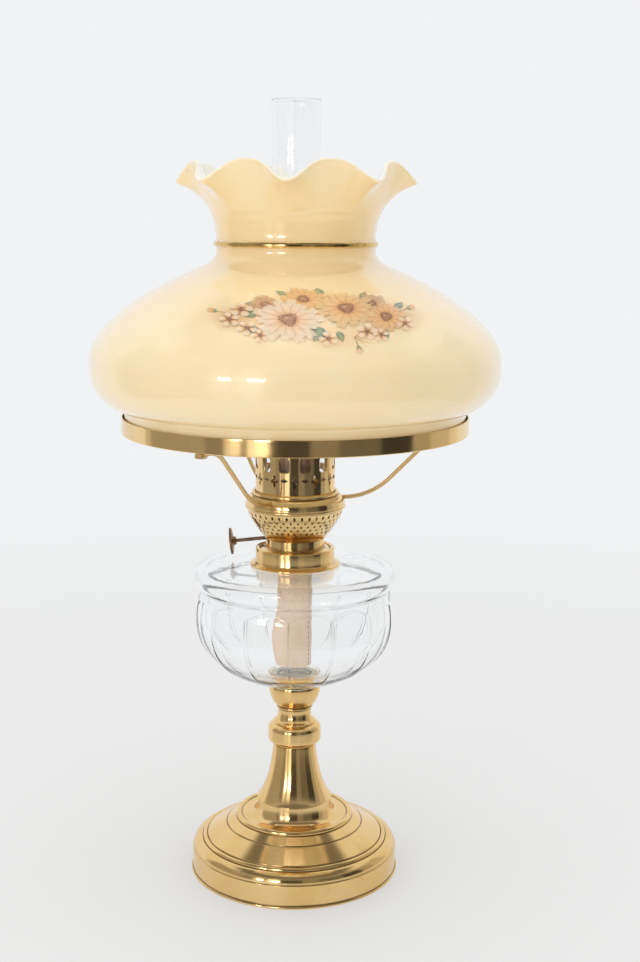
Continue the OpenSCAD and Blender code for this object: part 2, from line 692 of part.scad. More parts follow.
// The rolled wick: an open ring of cotton that swells to one side at its loose end
module wick() {
    m = 22;
    span = wick_top - wick_foot;
    steps = concat([for (i = [0 : 12]) 4 * i], [60, 75, span]);
    function swell(h, a) = wick_swell * bump((h + 12) / 62) * pow(max(0, -cos(a)), 2);
    function section(h) = concat(
        [for (j = [0 : m]) let(a = seam_turn + seam + (360 - 2 * seam) * j / m, r = wick_r + swell(h, a))
            [r * cos(a), r * sin(a), wick_foot + h]],
        [for (j = [m : -1 : 0]) let(a = seam_turn + seam + (360 - 2 * seam) * j / m, r = wick_in + swell(h, a))
            [r * cos(a), r * sin(a), wick_foot + h]]);
    color([0.85, 0.74, 0.62]) skin([for (h = steps) section(h)], false);
}

module chimney() {
    b = chimney_base_r;
    w = chimney_waist_r;
    s = chimney_shoulder_h;
    line = concat([[b, 0], [b, 0.55 * s], [b, s - 4]],
                  curve([[b, s], [b, s + 8], [w + 0.4, s + 9], [w, s + 18]], 12),
                  [[w + 0.2, s + 30], [w + 0.4, 0.5 * chimney_h], [w + 0.7, chimney_h - 43]],
                  [[w + 0.45 * (chimney_mouth_r - w) + 0.4, chimney_h - 18], [chimney_mouth_r, chimney_h]]);
    color(clear_glass) translate([0, 0, chimney_z])
        lathe(concat(line, reversed(inset(line, chimney_wall))));
}

// The domed collar that slips over the gallery and takes the arms
module holder_collar() {
    c = holder_collar_r;
    h = holder_collar_h;
    color(brass) translate([0, 0, gallery_z])
        difference() {
            lathe(concat([[holder_bore, 0], [c, 0], [c + 0.2, 0.5], [c, 1.4]],
                         curve([[c - 0.4, 1.9], [c - 0.6, 4.5], [holder_bore + 3.6, h - 3.2],
                                [holder_bore + 2, h - 2.6]], 8),
                         arc([holder_bore + 1, h - 1.3], 1.3, -40, 120, 6),
                         [[holder_bore, h - 0.4]]));
            around(arm_turns)
                translate([holder_bore + 1.6, 0, arm_z]) rotate([0, 90, 0])
                    cylinder(r = wire_r + 0.05, h = 10);
        }
}

// One arm in its own upright plane: a straight root, two bends with a run between, and a straight end
module arm() {
    low = [arm_start, arm_z + arm_low_bend];
    top = [arm_stop, arm_z + arm_rise - arm_top_bend];
    root = holder_bore + 2;
    path = concat([[root, arm_z]], arc(low, arm_low_bend, -90, -90 + arm_slope, 10),
                  arc(top, arm_top_bend, 90 + arm_slope, 90, 8), [[arm_stop + arm_end, arm_z + arm_rise]]);
    sides = 12;
    rings = [for (i = [0 : len(path) - 1])
        let(d = path[min(i + 1, len(path) - 1)] - path[max(i - 1, 0)], u = d / norm(d))
        [for (j = [0 : sides - 1]) let(a = -360 * (j + 0.5) / sides, s = wire_r * cos(a), t = wire_r * sin(a))
            [path[i][0] - s * u[1], t, path[i][1] + s * u[0]]]];
    translate([0, 0, gallery_z]) skin(rings, false);
}

module holder_arm_right() {
    color(brass) rotate([0, 0, arm_turns[0]]) arm();
}

module holder_arm_back() {
    color(brass) rotate([0, 0, arm_turns[1]]) arm();
}

module holder_arm_front() {
    color(brass) rotate([0, 0, arm_turns[2]]) arm();
}

// The soldered lugs that hold the arm ends under the ring
module arm_lugs() {
    color(brass) translate([0, 0, ring_z])
        around(arm_turns)
            difference() {
                translate([ledge_r + 0.6, -3.5, -2 * wire_r - 0.8]) cube([ledge_w, 7, 2 * wire_r + 0.8]);
                translate([ledge_r, 0, -wire_r]) rotate([0, 90, 0])
                    cylinder(r = wire_r + 0.04, h = ledge_w + 4);
            }
}

// The ring: an upright band with a rolled edge and a ledge for the shade
module holder_ring() {
    in_r = ring_r - ring_t;
    color(brass) translate([0, 0, ring_z])
        lathe(concat([[ledge_r, 0], [ring_r - 0.5, 0], [ring_r, 0.5]],
                     arc([ring_r - 0.5 * ring_t, ring_h - 0.5 * ring_t], 0.5 * ring_t, 0, 180, 6),
                     [[in_r, ring_t], [ledge_r, ring_t]]));
}

// The shade's outer line, from its foot to the top of the neck
function shade_line() =
    let(rise = shade_neck_h - shade_belly_h, reach = shade_r - shade_neck_r, rim = shade_r - fitter_r)
    concat(
        [[fitter_r, 0], [fitter_r, 0.87 * fitter_h]],
        curve([[fitter_r + 0.03 * rim, fitter_h], [fitter_r + 0.45 * rim, 1.04 * fitter_h],
               [shade_r, 0.63 * shade_belly_h], [shade_r, shade_belly_h]], 14),
        curve([[shade_r, shade_belly_h + 0.05 * rise], [shade_r, shade_belly_h + 0.31 * rise],
               [shade_r - 0.34 * reach, shade_neck_h - 0.44 * rise],
               [shade_neck_r + 0.294 * reach, shade_neck_h - 0.263 * rise]], 18),
        curve([[shade_neck_r + 0.253 * reach, shade_neck_h - 0.2425 * rise],
               [shade_neck_r + 0.092 * reach, shade_neck_h - 0.167 * rise],
               [shade_neck_r, shade_neck_h - 0.143 * rise], [shade_neck_r, shade_neck_h - 2 * bead_r]], 8),
        [[shade_neck_r + 0.1, shade_neck_h - 1.04 * bead_r]],
        arc([shade_neck_r - 0.36 * bead_r, shade_neck_h], bead_r, -60, 60, 6),
        [[shade_neck_r + 0.1, shade_neck_h + 1.04 * bead_r], [shade_neck_r, shade_neck_h + 0.19 * crown_h]]);

// The crown's middle line at azimuth a, from inside the neck's wall to the rim: its spouts curl outwards
function crown_path(a) =
    let(c = cos(lobes * (a - lobe_turn)), mid = shade_neck_r - shade_wall / 2, out = crown_r - shade_neck_r,
        rim = [crown_r + ruffle_out * c, shade_neck_h + crown_h - ruffle_drop * c])
    curve([[mid, shade_neck_h + 0.128 * crown_h], [mid + 0.03 * out, shade_neck_h + 0.42 * crown_h],
           [rim[0] - (0.63 + 0.25 * c) * out, rim[1] - (0.27 - 0.165 * c) * crown_h], rim], 10);

module shade() {
    line = shade_line();
    steps = 96;
    wall = shade_wall - 0.3;
    paths = [for (j = [0 : steps - 1]) let(p = crown_path(j * 360 / steps))
             concat(inset(p, -wall / 2), reversed(inset(p, wall / 2)))];
    rings = [for (k = [0 : len(paths[0]) - 1])
        [for (j = [0 : steps - 1]) let(a = j * 360 / steps)
            [paths[j][k][0] * cos(a), paths[j][k][0] * sin(a), paths[j][k][1]]]];
    color([0.93, 0.87, 0.66]) translate([0, 0, shade_z]) {
        lathe(concat(line, reversed(inset(line, shade_wall))));
        skin(rings, true);
    }
}

foot_shell();
foot_weight();
foot_felt();
tie_rod();
rod_washer();
rod_nut();
stem_trumpet();
stem_knop();
font_cup();
cup_plaster();
font_glass();
collar_plaster();
font_collar();
burner_base();
shaft_bush();
burner_basket();
burner_floor();
wick_tube();
draft_tube();
gallery();
wick_shaft();
spur_wheels();
wick_knob();
wick();
chimney();
holder_collar();
holder_arm_right();
holder_arm_back();
holder_arm_front();
arm_lugs();
holder_ring();
shade();
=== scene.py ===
"""A kerosene table lamp: a polished brass foot and stem, a cut glass font, a round-wick burner with its
chimney, and an opal glass shade on a three-armed holder.

Outlines are lists of (radius, height) points in millimetres, taken counterclockwise round the section.
The front of the lamp faces -Y.
"""

import json
import math
import random

import bpy
from mathutils import Matrix, Vector, noise


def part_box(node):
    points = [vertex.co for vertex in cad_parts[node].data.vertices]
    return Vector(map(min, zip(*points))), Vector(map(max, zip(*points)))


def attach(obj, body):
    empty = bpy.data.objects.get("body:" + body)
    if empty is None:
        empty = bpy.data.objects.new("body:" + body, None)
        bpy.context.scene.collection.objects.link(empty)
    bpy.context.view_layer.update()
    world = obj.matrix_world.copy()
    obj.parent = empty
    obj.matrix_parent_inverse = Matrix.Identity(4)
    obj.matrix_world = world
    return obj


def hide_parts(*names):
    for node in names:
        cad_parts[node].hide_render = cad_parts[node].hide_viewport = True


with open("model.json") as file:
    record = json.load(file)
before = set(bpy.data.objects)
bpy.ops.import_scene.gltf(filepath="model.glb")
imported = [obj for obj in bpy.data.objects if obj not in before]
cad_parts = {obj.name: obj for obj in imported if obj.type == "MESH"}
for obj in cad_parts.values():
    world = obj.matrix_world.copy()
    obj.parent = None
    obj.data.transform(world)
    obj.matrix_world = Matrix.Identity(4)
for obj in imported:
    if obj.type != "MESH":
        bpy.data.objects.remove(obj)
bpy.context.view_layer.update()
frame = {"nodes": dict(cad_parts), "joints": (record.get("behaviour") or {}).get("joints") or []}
MM = 0.001


def low(node):
    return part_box(node)[0].z / MM


def high(node):
    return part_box(node)[1].z / MM


def reach(node):
    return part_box(node)[1].x / MM


# Sizes that more than one piece needs
foot_rim = 1
rod_hole = 4.4
rim_drop = -2.9  # from the top of the foot's solid down to the trumpet's rim
font_r = 70.2
arch_h, arch_fall = 67, 5  # the top of a panel at its middle, and its fall to the ridges
burner_neck_h = 9.6
sheet_t = 0.9
wire_r = 1.5
arm_h = 5  # of the arms' roots over the gallery's foot
ring_t = 1
fitter_gap = 1.2
shade_r = 141.4
shade_neck_r = 54.4
shade_t = 3.2
bead_z, bead_r, bead_sunk = 127.2, 2.5, 0.9
crown_steps = 32

# Heights and radii that the frame gives
boss_z = low("stem_trumpet")
knop_z = low("stem_knop")
cup_z = low("font_cup")
font_z = high("font_cup")
collar_z = low("font_collar")
basket_z = low("burner_basket")
seat_z = basket_z - burner_neck_h
gallery_z = low("gallery")
chimney_z = low("chimney")
ring_z = low("holder_ring")
shade_z = low("shade")
tube_top = high("wick_tube")
foot_r = reach("foot_shell") - foot_rim
collar_flange = 3.8
collar_r = reach("font_collar") - collar_flange
gallery_r = reach("gallery")
ring_r = reach("holder_ring")
fitter_r = ring_r - ring_t - fitter_gap

# Turns about the lamp's axis, in degrees
front = -90
arm_turns = {"right": 0.5, "back": 120.5, "front": 240.5}
panel_count = 14
ridge_turn = front - 2.6
seam_turn = 30
lobe_count = 8
spout_turn = front - 3.5


# Lines and outlines

def clamped(value):
    return min(max(value, 0), 1)


def arc(middle, radius, start, stop, steps=10):
    turns = [math.radians(start + (stop - start) * i / steps) for i in range(steps + 1)]
    return [(middle[0] + radius * math.cos(a), middle[1] + radius * math.sin(a)) for a in turns]


def rectangle(left, right, bottom, top):
    return [(left, bottom), (right, bottom), (right, top), (left, top)]


def curve(a, b, c, d, steps):
    """Points of a cubic curve with four control points."""
    points = []
    for i in range(steps + 1):
        t = i / steps
        u = 1 - t
        weights = (u * u * u, 3 * u * u * t, 3 * u * t * t, t * t * t)
        points.append(tuple(sum(w * p[k] for w, p in zip(weights, (a, b, c, d))) for k in (0, 1)))
    return points


def headings(path):
    """The direction of a path at each of its points."""
    runs = [(b[0] - a[0], b[1] - a[1]) for a, b in zip(path[:1] + path[:-1], path[1:] + path[-1:])]
    return [(x / math.hypot(x, y), y / math.hypot(x, y)) for x, y in runs]


def beside(path, distance):
    """A path moved sideways, to the left of its direction, by one distance or by one for each point."""
    distances = distance if isinstance(distance, list) else [distance] * len(path)
    return [(p[0] - d * y, p[1] + d * x) for p, d, (x, y) in zip(path, distances, headings(path))]


def turning(before, here, after):
    """The turn of a path at a point, in radians, to the left positive."""
    first = math.atan2(here[1] - before[1], here[0] - before[0])
    second = math.atan2(after[1] - here[1], after[0] - here[0])
    return (second - first + math.pi) % (2 * math.pi) - math.pi


def eased(outline, radius):
    """A closed outline whose sharp edges are rounded off, as polishing leaves them."""
    sharp = math.radians(24)
    soft = []
    count = len(outline)
    for i, here in enumerate(outline):
        before = outline[i - 1]
        after = outline[(i + 1) % count]
        turn = turning(before, here, after)
        on_axis = here[0] < 0.001
        if on_axis or abs(turn) < sharp:
            soft.append(here)
            continue
        room = 0.4 * min(math.dist(before, here), math.dist(here, after))
        cut = min(room, radius * math.tan(min(abs(turn), 2.6) / 2))
        start = [h + (b - h) * cut / math.dist(before, here) for h, b in zip(here, before)]
        stop = [h + (a - h) * cut / math.dist(here, after) for h, a in zip(here, after)]
        for step in range(5):
            t = step / 4
            soft.append(tuple((1 - t) ** 2 * s + 2 * t * (1 - t) * h + t * t * e
                              for s, h, e in zip(start, here, stop)))
    return soft


def fine(outline, longest=1.6):
    """A closed outline with points added on its long stretches."""
    points = []
    for i, here in enumerate(outline):
        after = outline[(i + 1) % len(outline)]
        cuts = max(1, math.ceil(math.dist(here, after) / longest))
        points += [tuple(h + (a - h) * k / cuts for h, a in zip(here, after)) for k in range(cuts)]
    return points


def raised(outline, height):
    return [(r, z + height) for r, z in outline]


def creases(outline):
    """How much dirt each point of a closed outline holds: most in its hollow corners."""
    spread = 0.4
    count = len(outline)
    along = [0.0]
    for i in range(1, count):
        along.append(along[-1] + math.dist(outline[i - 1], outline[i]))
    hollow = [max(0.0, -turning(outline[i - 1], outline[i], outline[(i + 1) % count])) for i in range(count)]
    corners = [(s, h) for s, h in zip(along, hollow) if h > 0.02]
    return [min(1.0, sum(h * math.exp(-abs(s - t) / spread) for t, h in corners)) for s in along]


# Meshes and objects

def new_mesh(name, points, faces):
    mesh = bpy.data.meshes.new(name)
    mesh.from_pydata(points, [], faces)
    return mesh


def placed(name, data):
    """A mesh, light or camera as an object of the scene."""
    obj = bpy.data.objects.new(name, data)
    bpy.context.scene.collection.objects.link(obj)
    return obj


def even_turns(steps):
    return [360 * i / steps for i in range(steps)]


def swept(name, turns, outline_at, marks=None, mark="dirt"):
    """A closed mesh that joins the closed outlines at the given turns about the axis, in millimetres.

    Marks are values for the points of the outline, which the mesh carries for its finish.
    """
    columns = [outline_at(turn) for turn in turns]
    rows = len(columns[0])
    width = len(columns)
    points = []
    index = []
    for row in range(rows):
        on_axis = all(column[row][0] < 0.001 for column in columns)
        ring = []
        for turn, column in zip(turns, columns):
            if not ring or not on_axis:
                r, z = column[row]
                a = math.radians(turn)
                points.append((r * math.cos(a) * MM, r * math.sin(a) * MM, z * MM))
            ring.append(len(points) - 1)
        index.append(ring)
    faces = []
    for row in range(rows):
        here = index[row]
        above = index[(row + 1) % rows]
        for k in range(width):
            corners = (here[k], here[(k + 1) % width], above[(k + 1) % width], above[k])
            face = tuple(dict.fromkeys(corners))
            if len(face) > 2:
                faces.append(face)
    mesh = new_mesh(name, points, faces)
    if marks:
        values = [0.0] * len(points)
        for row, ring in enumerate(index):
            for k in ring:
                values[k] = marks[row]
        mesh.attributes.new(mark, "FLOAT", "POINT").data.foreach_set("value", values)
    return smoothed(mesh)


def turned(name, outline, height=0, steps=180, edge=0.35):
    """A piece turned on the lathe from a closed outline."""
    section = fine(eased(raised(outline, height), edge))
    return swept(name, even_turns(steps), lambda turn: section, creases(section))


def stacked(name, rings, band=False):
    """A mesh that joins rings of 3-D points in millimetres.

    Each end is one face, or on a thin band a row of faces from its outside to its inside.
    """
    size = len(rings[0])
    points = [tuple(c * MM for c in p) for ring in rings for p in ring]
    faces = []
    for k in range(len(rings) - 1):
        for j in range(size):
            nxt = (j + 1) % size
            faces.append((k * size + j, k * size + nxt, (k + 1) * size + nxt, (k + 1) * size + j))
    last = (len(rings) - 1) * size
    if band:
        for j in range(size // 2 - 1):
            far = size - 1 - j
            faces.append((j, far, far - 1, j + 1))
            faces.append((last + j, last + j + 1, last + far - 1, last + far))
    else:
        faces.append(tuple(range(size - 1, -1, -1)))
        faces.append(tuple(last + j for j in range(size)))
    return smoothed(new_mesh(name, points, faces))


def wire(name, path, radius):
    """A round wire along a path of (distance from the axis, height) points in the plane of turn zero."""
    section = arc((0, 0), radius, 0, 342, 19)
    rings = []
    for p, (x, y) in zip(path, headings(path)):
        rings.append([(p[0] - out * y, -side, p[1] + out * x) for out, side in section])
    return stacked(name, rings)


def smoothed(mesh):
    sharp = math.radians(32)
    mesh.validate()
    mesh.shade_smooth()
    mesh.set_sharp_from_angle(angle=sharp)
    return mesh


def pierced(mesh, cutter):
    """The mesh with the cutter's prisms taken out of it."""
    blank = placed("blank", mesh)
    tool = placed("tool", cutter)
    cut = blank.modifiers.new("piercing", "BOOLEAN")
    cut.operation = "DIFFERENCE"
    cut.solver = "MANIFOLD"
    cut.object = tool
    shape = blank.evaluated_get(bpy.context.evaluated_depsgraph_get())
    made = bpy.data.meshes.new_from_object(shape)
    made.name = mesh.name
    made.materials.clear()
    for obj in (blank, tool):
        bpy.data.objects.remove(obj)
    return smoothed(made)


def prisms(name, shapes):
    """One mesh of separate prisms: each shape is its two rings of 3-D points, in millimetres."""
    points = []
    faces = []
    for ring, opposite in shapes:
        base = len(points)
        size = len(ring)
        points += [tuple(c * MM for c in p) for p in list(ring) + list(opposite)]
        faces.append(tuple(base + j for j in range(size)))
        faces.append(tuple(base + size + j for j in range(size - 1, -1, -1)))
        for j in range(size):
            nxt = (j + 1) % size
            faces.append((base + nxt, base + j, base + size + j, base + size + nxt))
    return new_mesh(name, points, faces)


def radial_prism(shape, turn, near, far):
    """A flat shape of (across, height) points, driven outwards from radius near to radius far."""
    c, s = math.cos(math.radians(turn)), math.sin(math.radians(turn))
    return [[(r * c - x * s, r * s + x * c, z) for x, z in shape] for r in (far, near)]


# Finishes

class Value:
    """A socket of a finish that takes part in Python arithmetic."""

    def __init__(self, finish, socket):
        self.finish = finish
        self.socket = socket

    def math(self, operation, *others):
        return self.finish.node("ShaderNodeMath", {"operation": operation}, [self, *others])

    def __add__(self, other):
        return self.math("ADD", other)

    def __mul__(self, other):
        return self.math("MULTIPLY", other)

    def __sub__(self, other):
        return self.math("SUBTRACT", other)

    def __truediv__(self, other):
        return self.math("DIVIDE", other)

    def __pow__(self, other):
        return self.math("POWER", other)

    def __rsub__(self, other):
        return self.finish.node("ShaderNodeMath", {"operation": "SUBTRACT"}, [other, self])

    __radd__ = __add__
    __rmul__ = __mul__

    def between(self, start, stop):
        """Zero below start, one above stop and smooth between them."""
        settings = {"interpolation_type": "SMOOTHSTEP"}
        values = {"Value": self, "From Min": start, "From Max": stop}
        return self.finish.node("ShaderNodeMapRange", settings, values)


class Finish:
    """The node tree of a material or world, written as Python expressions."""

    def __init__(self, owner):
        self.owner = owner
        owner.use_nodes = True
        self.tree = owner.node_tree
        self.tree.nodes.clear()

    def node(self, kind, settings=None, values=(), output=0):
        """A node of the given type, with its settings, then its sockets' values or links."""
        made = self.tree.nodes.new(kind)
        for name, setting in (settings or {}).items():
            if name == "stops":
                ramp = made.color_ramp.elements
                while len(ramp) < len(setting):
                    ramp.new(0.5)
                for stop, (place, colour) in zip(ramp, setting):
                    stop.position = place
                    stop.color = colour
            else:
                setattr(made, name, setting)
        pairs = values.items() if isinstance(values, dict) else enumerate(values)
        for key, value in pairs:
            if isinstance(value, Value):
                self.tree.links.new(value.socket, made.inputs[key])
            else:
                made.inputs[key].default_value = value
        return Value(self, made.outputs[output])

    def place(self):
        """Where a point of the piece is, in the lamp's own frame in metres: the vector, x, y and z."""
        spot = self.node("ShaderNodeTexCoord", output="Object")
        return [spot] + [self.node("ShaderNodeSeparateXYZ", None, [spot], axis) for axis in "XYZ"]

    def vector(self, x, y, z):
        return self.node("ShaderNodeCombineXYZ", None, [x, y, z])

    def cloud(self, spot, scale, detail=3.0, rough=0.55):
        """Soft noise from 0 to 1."""
        values = {"Vector": spot, "Scale": scale, "Detail": detail, "Roughness": rough}
        return self.node("ShaderNodeTexNoise", None, values)

    def mark(self, name, output="Fac"):
        """A value that the piece's mesh carries at each point."""
        return self.node("ShaderNodeAttribute", {"attribute_name": name}, output=output)

    def blend(self, share, first, second):
        """The first colour where share is 0 and the second where it is 1."""
        return self.node("ShaderNodeMix", {"data_type": "RGBA"}, {0: share, 6: first, 7: second}, 2)

    def bumped(self, height, depth, strength=1.0):
        """A normal from a height of 0 to 1, as deep as depth in metres."""
        values = {"Strength": strength, "Distance": depth, "Height": height}
        return self.node("ShaderNodeBump", None, values)

    def surface(self, values):
        return self.node("ShaderNodeBsdfPrincipled", None, values)

    def end(self, shader, kind="ShaderNodeOutputMaterial"):
        """Shows the shader, and gives back the material or world."""
        out = self.tree.nodes.new(kind)
        self.tree.links.new(shader.socket, out.inputs["Surface"])
        return self.owner


def new_finish(name):
    return Finish(bpy.data.materials.new(name))


def tint(red, green, blue):
    return (red, green, blue, 1.0)


def brass(name, bright, deep, gloss, line_depth, brushed=0.0):
    """Polished brass with fine turning lines, warmer patches and dirt in its hollow corners."""
    f = new_finish(name)
    spot, x, y, z = f.place()
    radius = (x * x + y * y) ** 0.5
    patches = f.cloud(spot, 26.0, 4.0).between(0.38, 0.68)
    specks = f.cloud(spot, 420.0, 2.0).between(0.66, 0.8)
    lines = f.cloud(f.vector(radius * 3600, z * 3600, 0.0), 1.0, 2.0)
    rubbed = f.cloud(f.vector(x * 90, y * 90, z * 900), 1.0, 3.0)
    dirt = f.mark("dirt") * (0.55 + 0.9 * f.cloud(spot, 60.0))
    soiled = 0.75 * dirt.between(0.15, 1.0)
    metal = f.blend(patches, bright, deep)
    metal = f.blend(specks * 0.35, metal, tint(0.38, 0.22, 0.07))
    colour = f.blend(soiled, metal, tint(0.11, 0.065, 0.022))
    roughness = gloss + 0.04 * rubbed + 0.05 * patches + 0.4 * soiled + 0.12 * specks
    normal = f.bumped(lines + 0.4 * rubbed, line_depth, 0.5)
    values = {"Base Color": colour, "Metallic": 1.0, "Roughness": roughness, "Normal": normal,
              "Anisotropic": brushed, "Anisotropic Rotation": 0.25}
    return f.end(f.surface(values))


def tarnished(name, light, dark, gloss):
    """Old metal with a brown skin, rubbed brighter in places."""
    f = new_finish(name)
    spot = f.place()[0]
    skin = f.cloud(spot, 160.0, 5.0, 0.65)
    grain = f.cloud(spot, 1500.0, 2.0)
    colour = f.blend(skin.between(0.3, 0.7), light, dark)
    roughness = gloss + 0.3 * skin
    normal = f.bumped(skin + 0.4 * grain, 0.00008, 0.6)
    values = {"Base Color": colour, "Metallic": 1.0, "Roughness": roughness, "Normal": normal}
    return f.end(f.surface(values))


def cast_iron():
    f = new_finish("cast_iron")
    spot = f.place()[0]
    grain = f.cloud(spot, 700.0, 4.0, 0.7)
    rust = f.cloud(spot, 45.0, 4.0).between(0.55, 0.75)
    colour = f.blend(rust * 0.7, tint(0.06, 0.06, 0.062), tint(0.20, 0.075, 0.03))
    values = {"Base Color": colour, "Metallic": 0.6, "Roughness": 0.55 + 0.3 * rust,
              "Normal": f.bumped(grain, 0.0004)}
    return f.end(f.surface(values))


def felt():
    f = new_finish("felt")
    spot = f.place()[0]
    fibres = f.cloud(spot, 2600.0, 5.0, 0.75)
    patchy = f.cloud(spot, 40.0, 3.0)
    colour = f.blend(fibres, tint(0.018, 0.06, 0.028), tint(0.06, 0.14, 0.07))
    colour = f.blend(patchy * 0.3, colour, tint(0.12, 0.15, 0.10))
    values = {"Base Color": colour, "Roughness": 0.95, "Sheen Weight": 0.4,
              "Normal": f.bumped(fibres, 0.0005)}
    return f.end(f.surface(values))


def plaster():
    f = new_finish("plaster")
    spot = f.place()[0]
    grain = f.cloud(spot, 900.0, 4.0)
    stain = f.cloud(spot, 70.0, 3.0)
    colour = f.blend(stain, tint(0.62, 0.56, 0.44), tint(0.78, 0.74, 0.64))
    values = {"Base Color": colour, "Roughness": 0.9, "Normal": f.bumped(grain, 0.0003)}
    return f.end(f.surface(values))


def cotton():
    """Woven wick cotton: upright cords crossed by weft, one dark marker thread, stains and a charred top."""
    f = new_finish("wick_cotton")
    spot, x, y, z = f.place()
    turn = y.math("ARCTAN2", x)
    wick_r = 0.012
    cord, row, stitch = 0.0012, 0.0009, 0.0034
    cords = (turn * wick_r * (2 * math.pi / cord)).math("SINE")
    weft = (z * (2 * math.pi / row) + cords * 1.4).math("SINE")
    fuzz = f.cloud(spot, 2400.0, 4.0, 0.7)
    weave = 0.5 + 0.28 * cords + 0.16 * weft + 0.25 * fuzz
    stains = f.cloud(spot, 70.0, 3.0)
    colour = f.blend(stains.between(0.3, 0.7), tint(0.92, 0.72, 0.55), tint(0.84, 0.63, 0.46))
    # painted shade: darker brown where the weave is low, in the hollows between cords and weft
    colour = f.blend((1 - weave).between(0.45, 0.9) * 0.45, colour, tint(0.40, 0.27, 0.18))
    off_thread = ((turn + 0.6) * wick_r).math("ABSOLUTE")
    stitches = (z * (2 * math.pi / stitch)).math("SINE").between(-0.5, 0.2)
    thread = (1 - off_thread.between(0.00025, 0.0005)) * stitches
    colour = f.blend(thread * 0.85, colour, tint(0.07, 0.06, 0.07))
    charred = z.between(tube_top * MM - 0.001, tube_top * MM + 0.0012)
    colour = f.blend(charred * (0.5 + 0.5 * fuzz), colour, tint(0.03, 0.022, 0.018))
    values = {"Base Color": colour, "Roughness": 0.92, "Sheen Weight": 0.25,
              "Normal": f.bumped(weave, 0.0004)}
    return f.end(f.surface(values))


def clear_glass(name, colour, waviness, lines=None):
    """Clear glass with a glossy outer skin, slightly uneven; light reaches what is inside it."""
    f = new_finish(name)
    x, y, z = f.place()[1:]
    waves = f.cloud(f.vector(x * 55, y * 55, z * 24), 1.0, 2.0)
    smears = f.cloud(f.vector(x * 60, y * 60, z * 20), 1.0, 4.0).between(0.55, 0.8)
    tone = f.blend(smears * 0.5, colour, tint(0.985, 0.985, 0.975))
    if lines:
        # painted shade: grey lines standing in for the dark lines that refraction draws along the cut edges
        tone = f.blend(lines(f), tone, tint(0.16, 0.16, 0.155))
    values = {"Base Color": tone, "Roughness": 0.003 + 0.012 * smears, "IOR": 1.2,
              "Transmission Weight": 1.0, "Normal": f.bumped(waves, waviness, 0.6),
              "Coat Weight": f.mark("skin"), "Coat Roughness": 0.01, "Coat IOR": 1.5}
    glass = f.surface(values)
    light = f.node("ShaderNodeLightPath", output="Is Shadow Ray")
    soft = f.node("ShaderNodeLightPath", output="Is Diffuse Ray")
    clear = f.node("ShaderNodeBsdfTransparent", None, {"Color": tint(0.97, 0.975, 0.975)})
    return f.end(f.node("ShaderNodeMixShader", None, [light.math("MAXIMUM", soft), glass, clear]))


def painted_refraction_lines(f):
    """How much painted shade greys the font's glass along the panels' ridges and arches and in the groove
    above them, standing in for the dark lines that refraction draws at those edges.
    """
    x, y, z = f.place()[1:]
    half = math.radians(180 / panel_count)
    groove_h, middle_h = 0.0709, 0.044
    turn = y.math("ARCTAN2", x)
    share = ((turn - math.radians(ridge_turn)) / (2 * half)).math("FRACT")
    off = (share - 0.5).math("ABSOLUTE") * 2
    to_ridge = (1 - off) * half * (x * x + y * y) ** 0.5
    up = z - font_z * MM
    below_arch = arch_h * MM - arch_fall * MM * off * off - up
    panel = up.between(0.013, 0.024) * below_arch.between(-0.0004, 0.0002)
    ridge = (1 - to_ridge.between(0.0002, 0.0008)) * panel
    arch = 1 - below_arch.math("ABSOLUTE").between(0.0001, 0.0006)
    groove = 1 - (up - groove_h).math("ABSOLUTE").between(0.0003, 0.0012)
    patchy = f.cloud(f.vector(x * 40, y * 40, z * 60), 1.0, 3.0).between(0.35, 0.65)
    ends = (up - middle_h).math("ABSOLUTE").between(0.003, 0.017)
    # painted shade: the ridge, arch and groove lines, patchy along their length
    cuts = (ridge * (0.2 + 0.55 * ends)).math("MAXIMUM", arch * 0.25)
    return cuts * (0.2 + 0.8 * patchy) + 0.45 * groove * (0.4 + 0.6 * patchy)


def opal_glass():
    """Cream glass over white: warmer towards the neck, cloudy in the body, with a clear glossy skin."""
    f = new_finish("opal_glass")
    spot, x, y, z = f.place()
    shade_h = 0.18
    rise = (z - shade_z * MM) / shade_h
    clouds = f.cloud(spot, 22.0, 4.0)
    streaks = f.cloud(f.vector(x * 20, y * 20, z * 120), 1.0, 3.0)
    # The tone by height, warmer towards the neck; the crown's stops are a little lighter as painted light,
    # making up for the lesser light that falls on its flared wall
    stops = [(0.0, tint(0.95, 0.71, 0.41)), (0.10, tint(0.95, 0.71, 0.41)), (0.24, tint(0.95, 0.72, 0.43)),
             (0.42, tint(0.94, 0.72, 0.44)), (0.60, tint(0.95, 0.69, 0.38)), (0.70, tint(0.98, 0.67, 0.33)),
             (0.82, tint(0.98, 0.71, 0.39)), (1.0, tint(0.97, 0.74, 0.46))]
    body = f.node("ShaderNodeValToRGB", {"stops": stops}, [rise])
    colour = f.blend(clouds.between(0.35, 0.75) * 0.2, body, tint(0.96, 0.84, 0.60))
    colour = f.blend(streaks.between(0.5, 0.8) * 0.08, colour, tint(0.90, 0.64, 0.30))
    colour = f.blend(f.mark("casing"), colour, tint(0.95, 0.90, 0.80))
    skin = f.cloud(f.vector(x * 30, y * 30, z * 14), 1.0, 2.0)
    values = {"Base Color": colour, "Roughness": 0.22 + 0.06 * clouds, "IOR": 1.5,
              "Subsurface Weight": 0.35, "Subsurface Radius": (0.008, 0.0065, 0.005), "Subsurface Scale": 1.0,
              "Coat Weight": 1.0, "Coat Roughness": 0.02, "Coat IOR": 1.5,
              "Normal": f.bumped(skin, 0.0006, 0.25)}
    return f.end(f.surface(values))


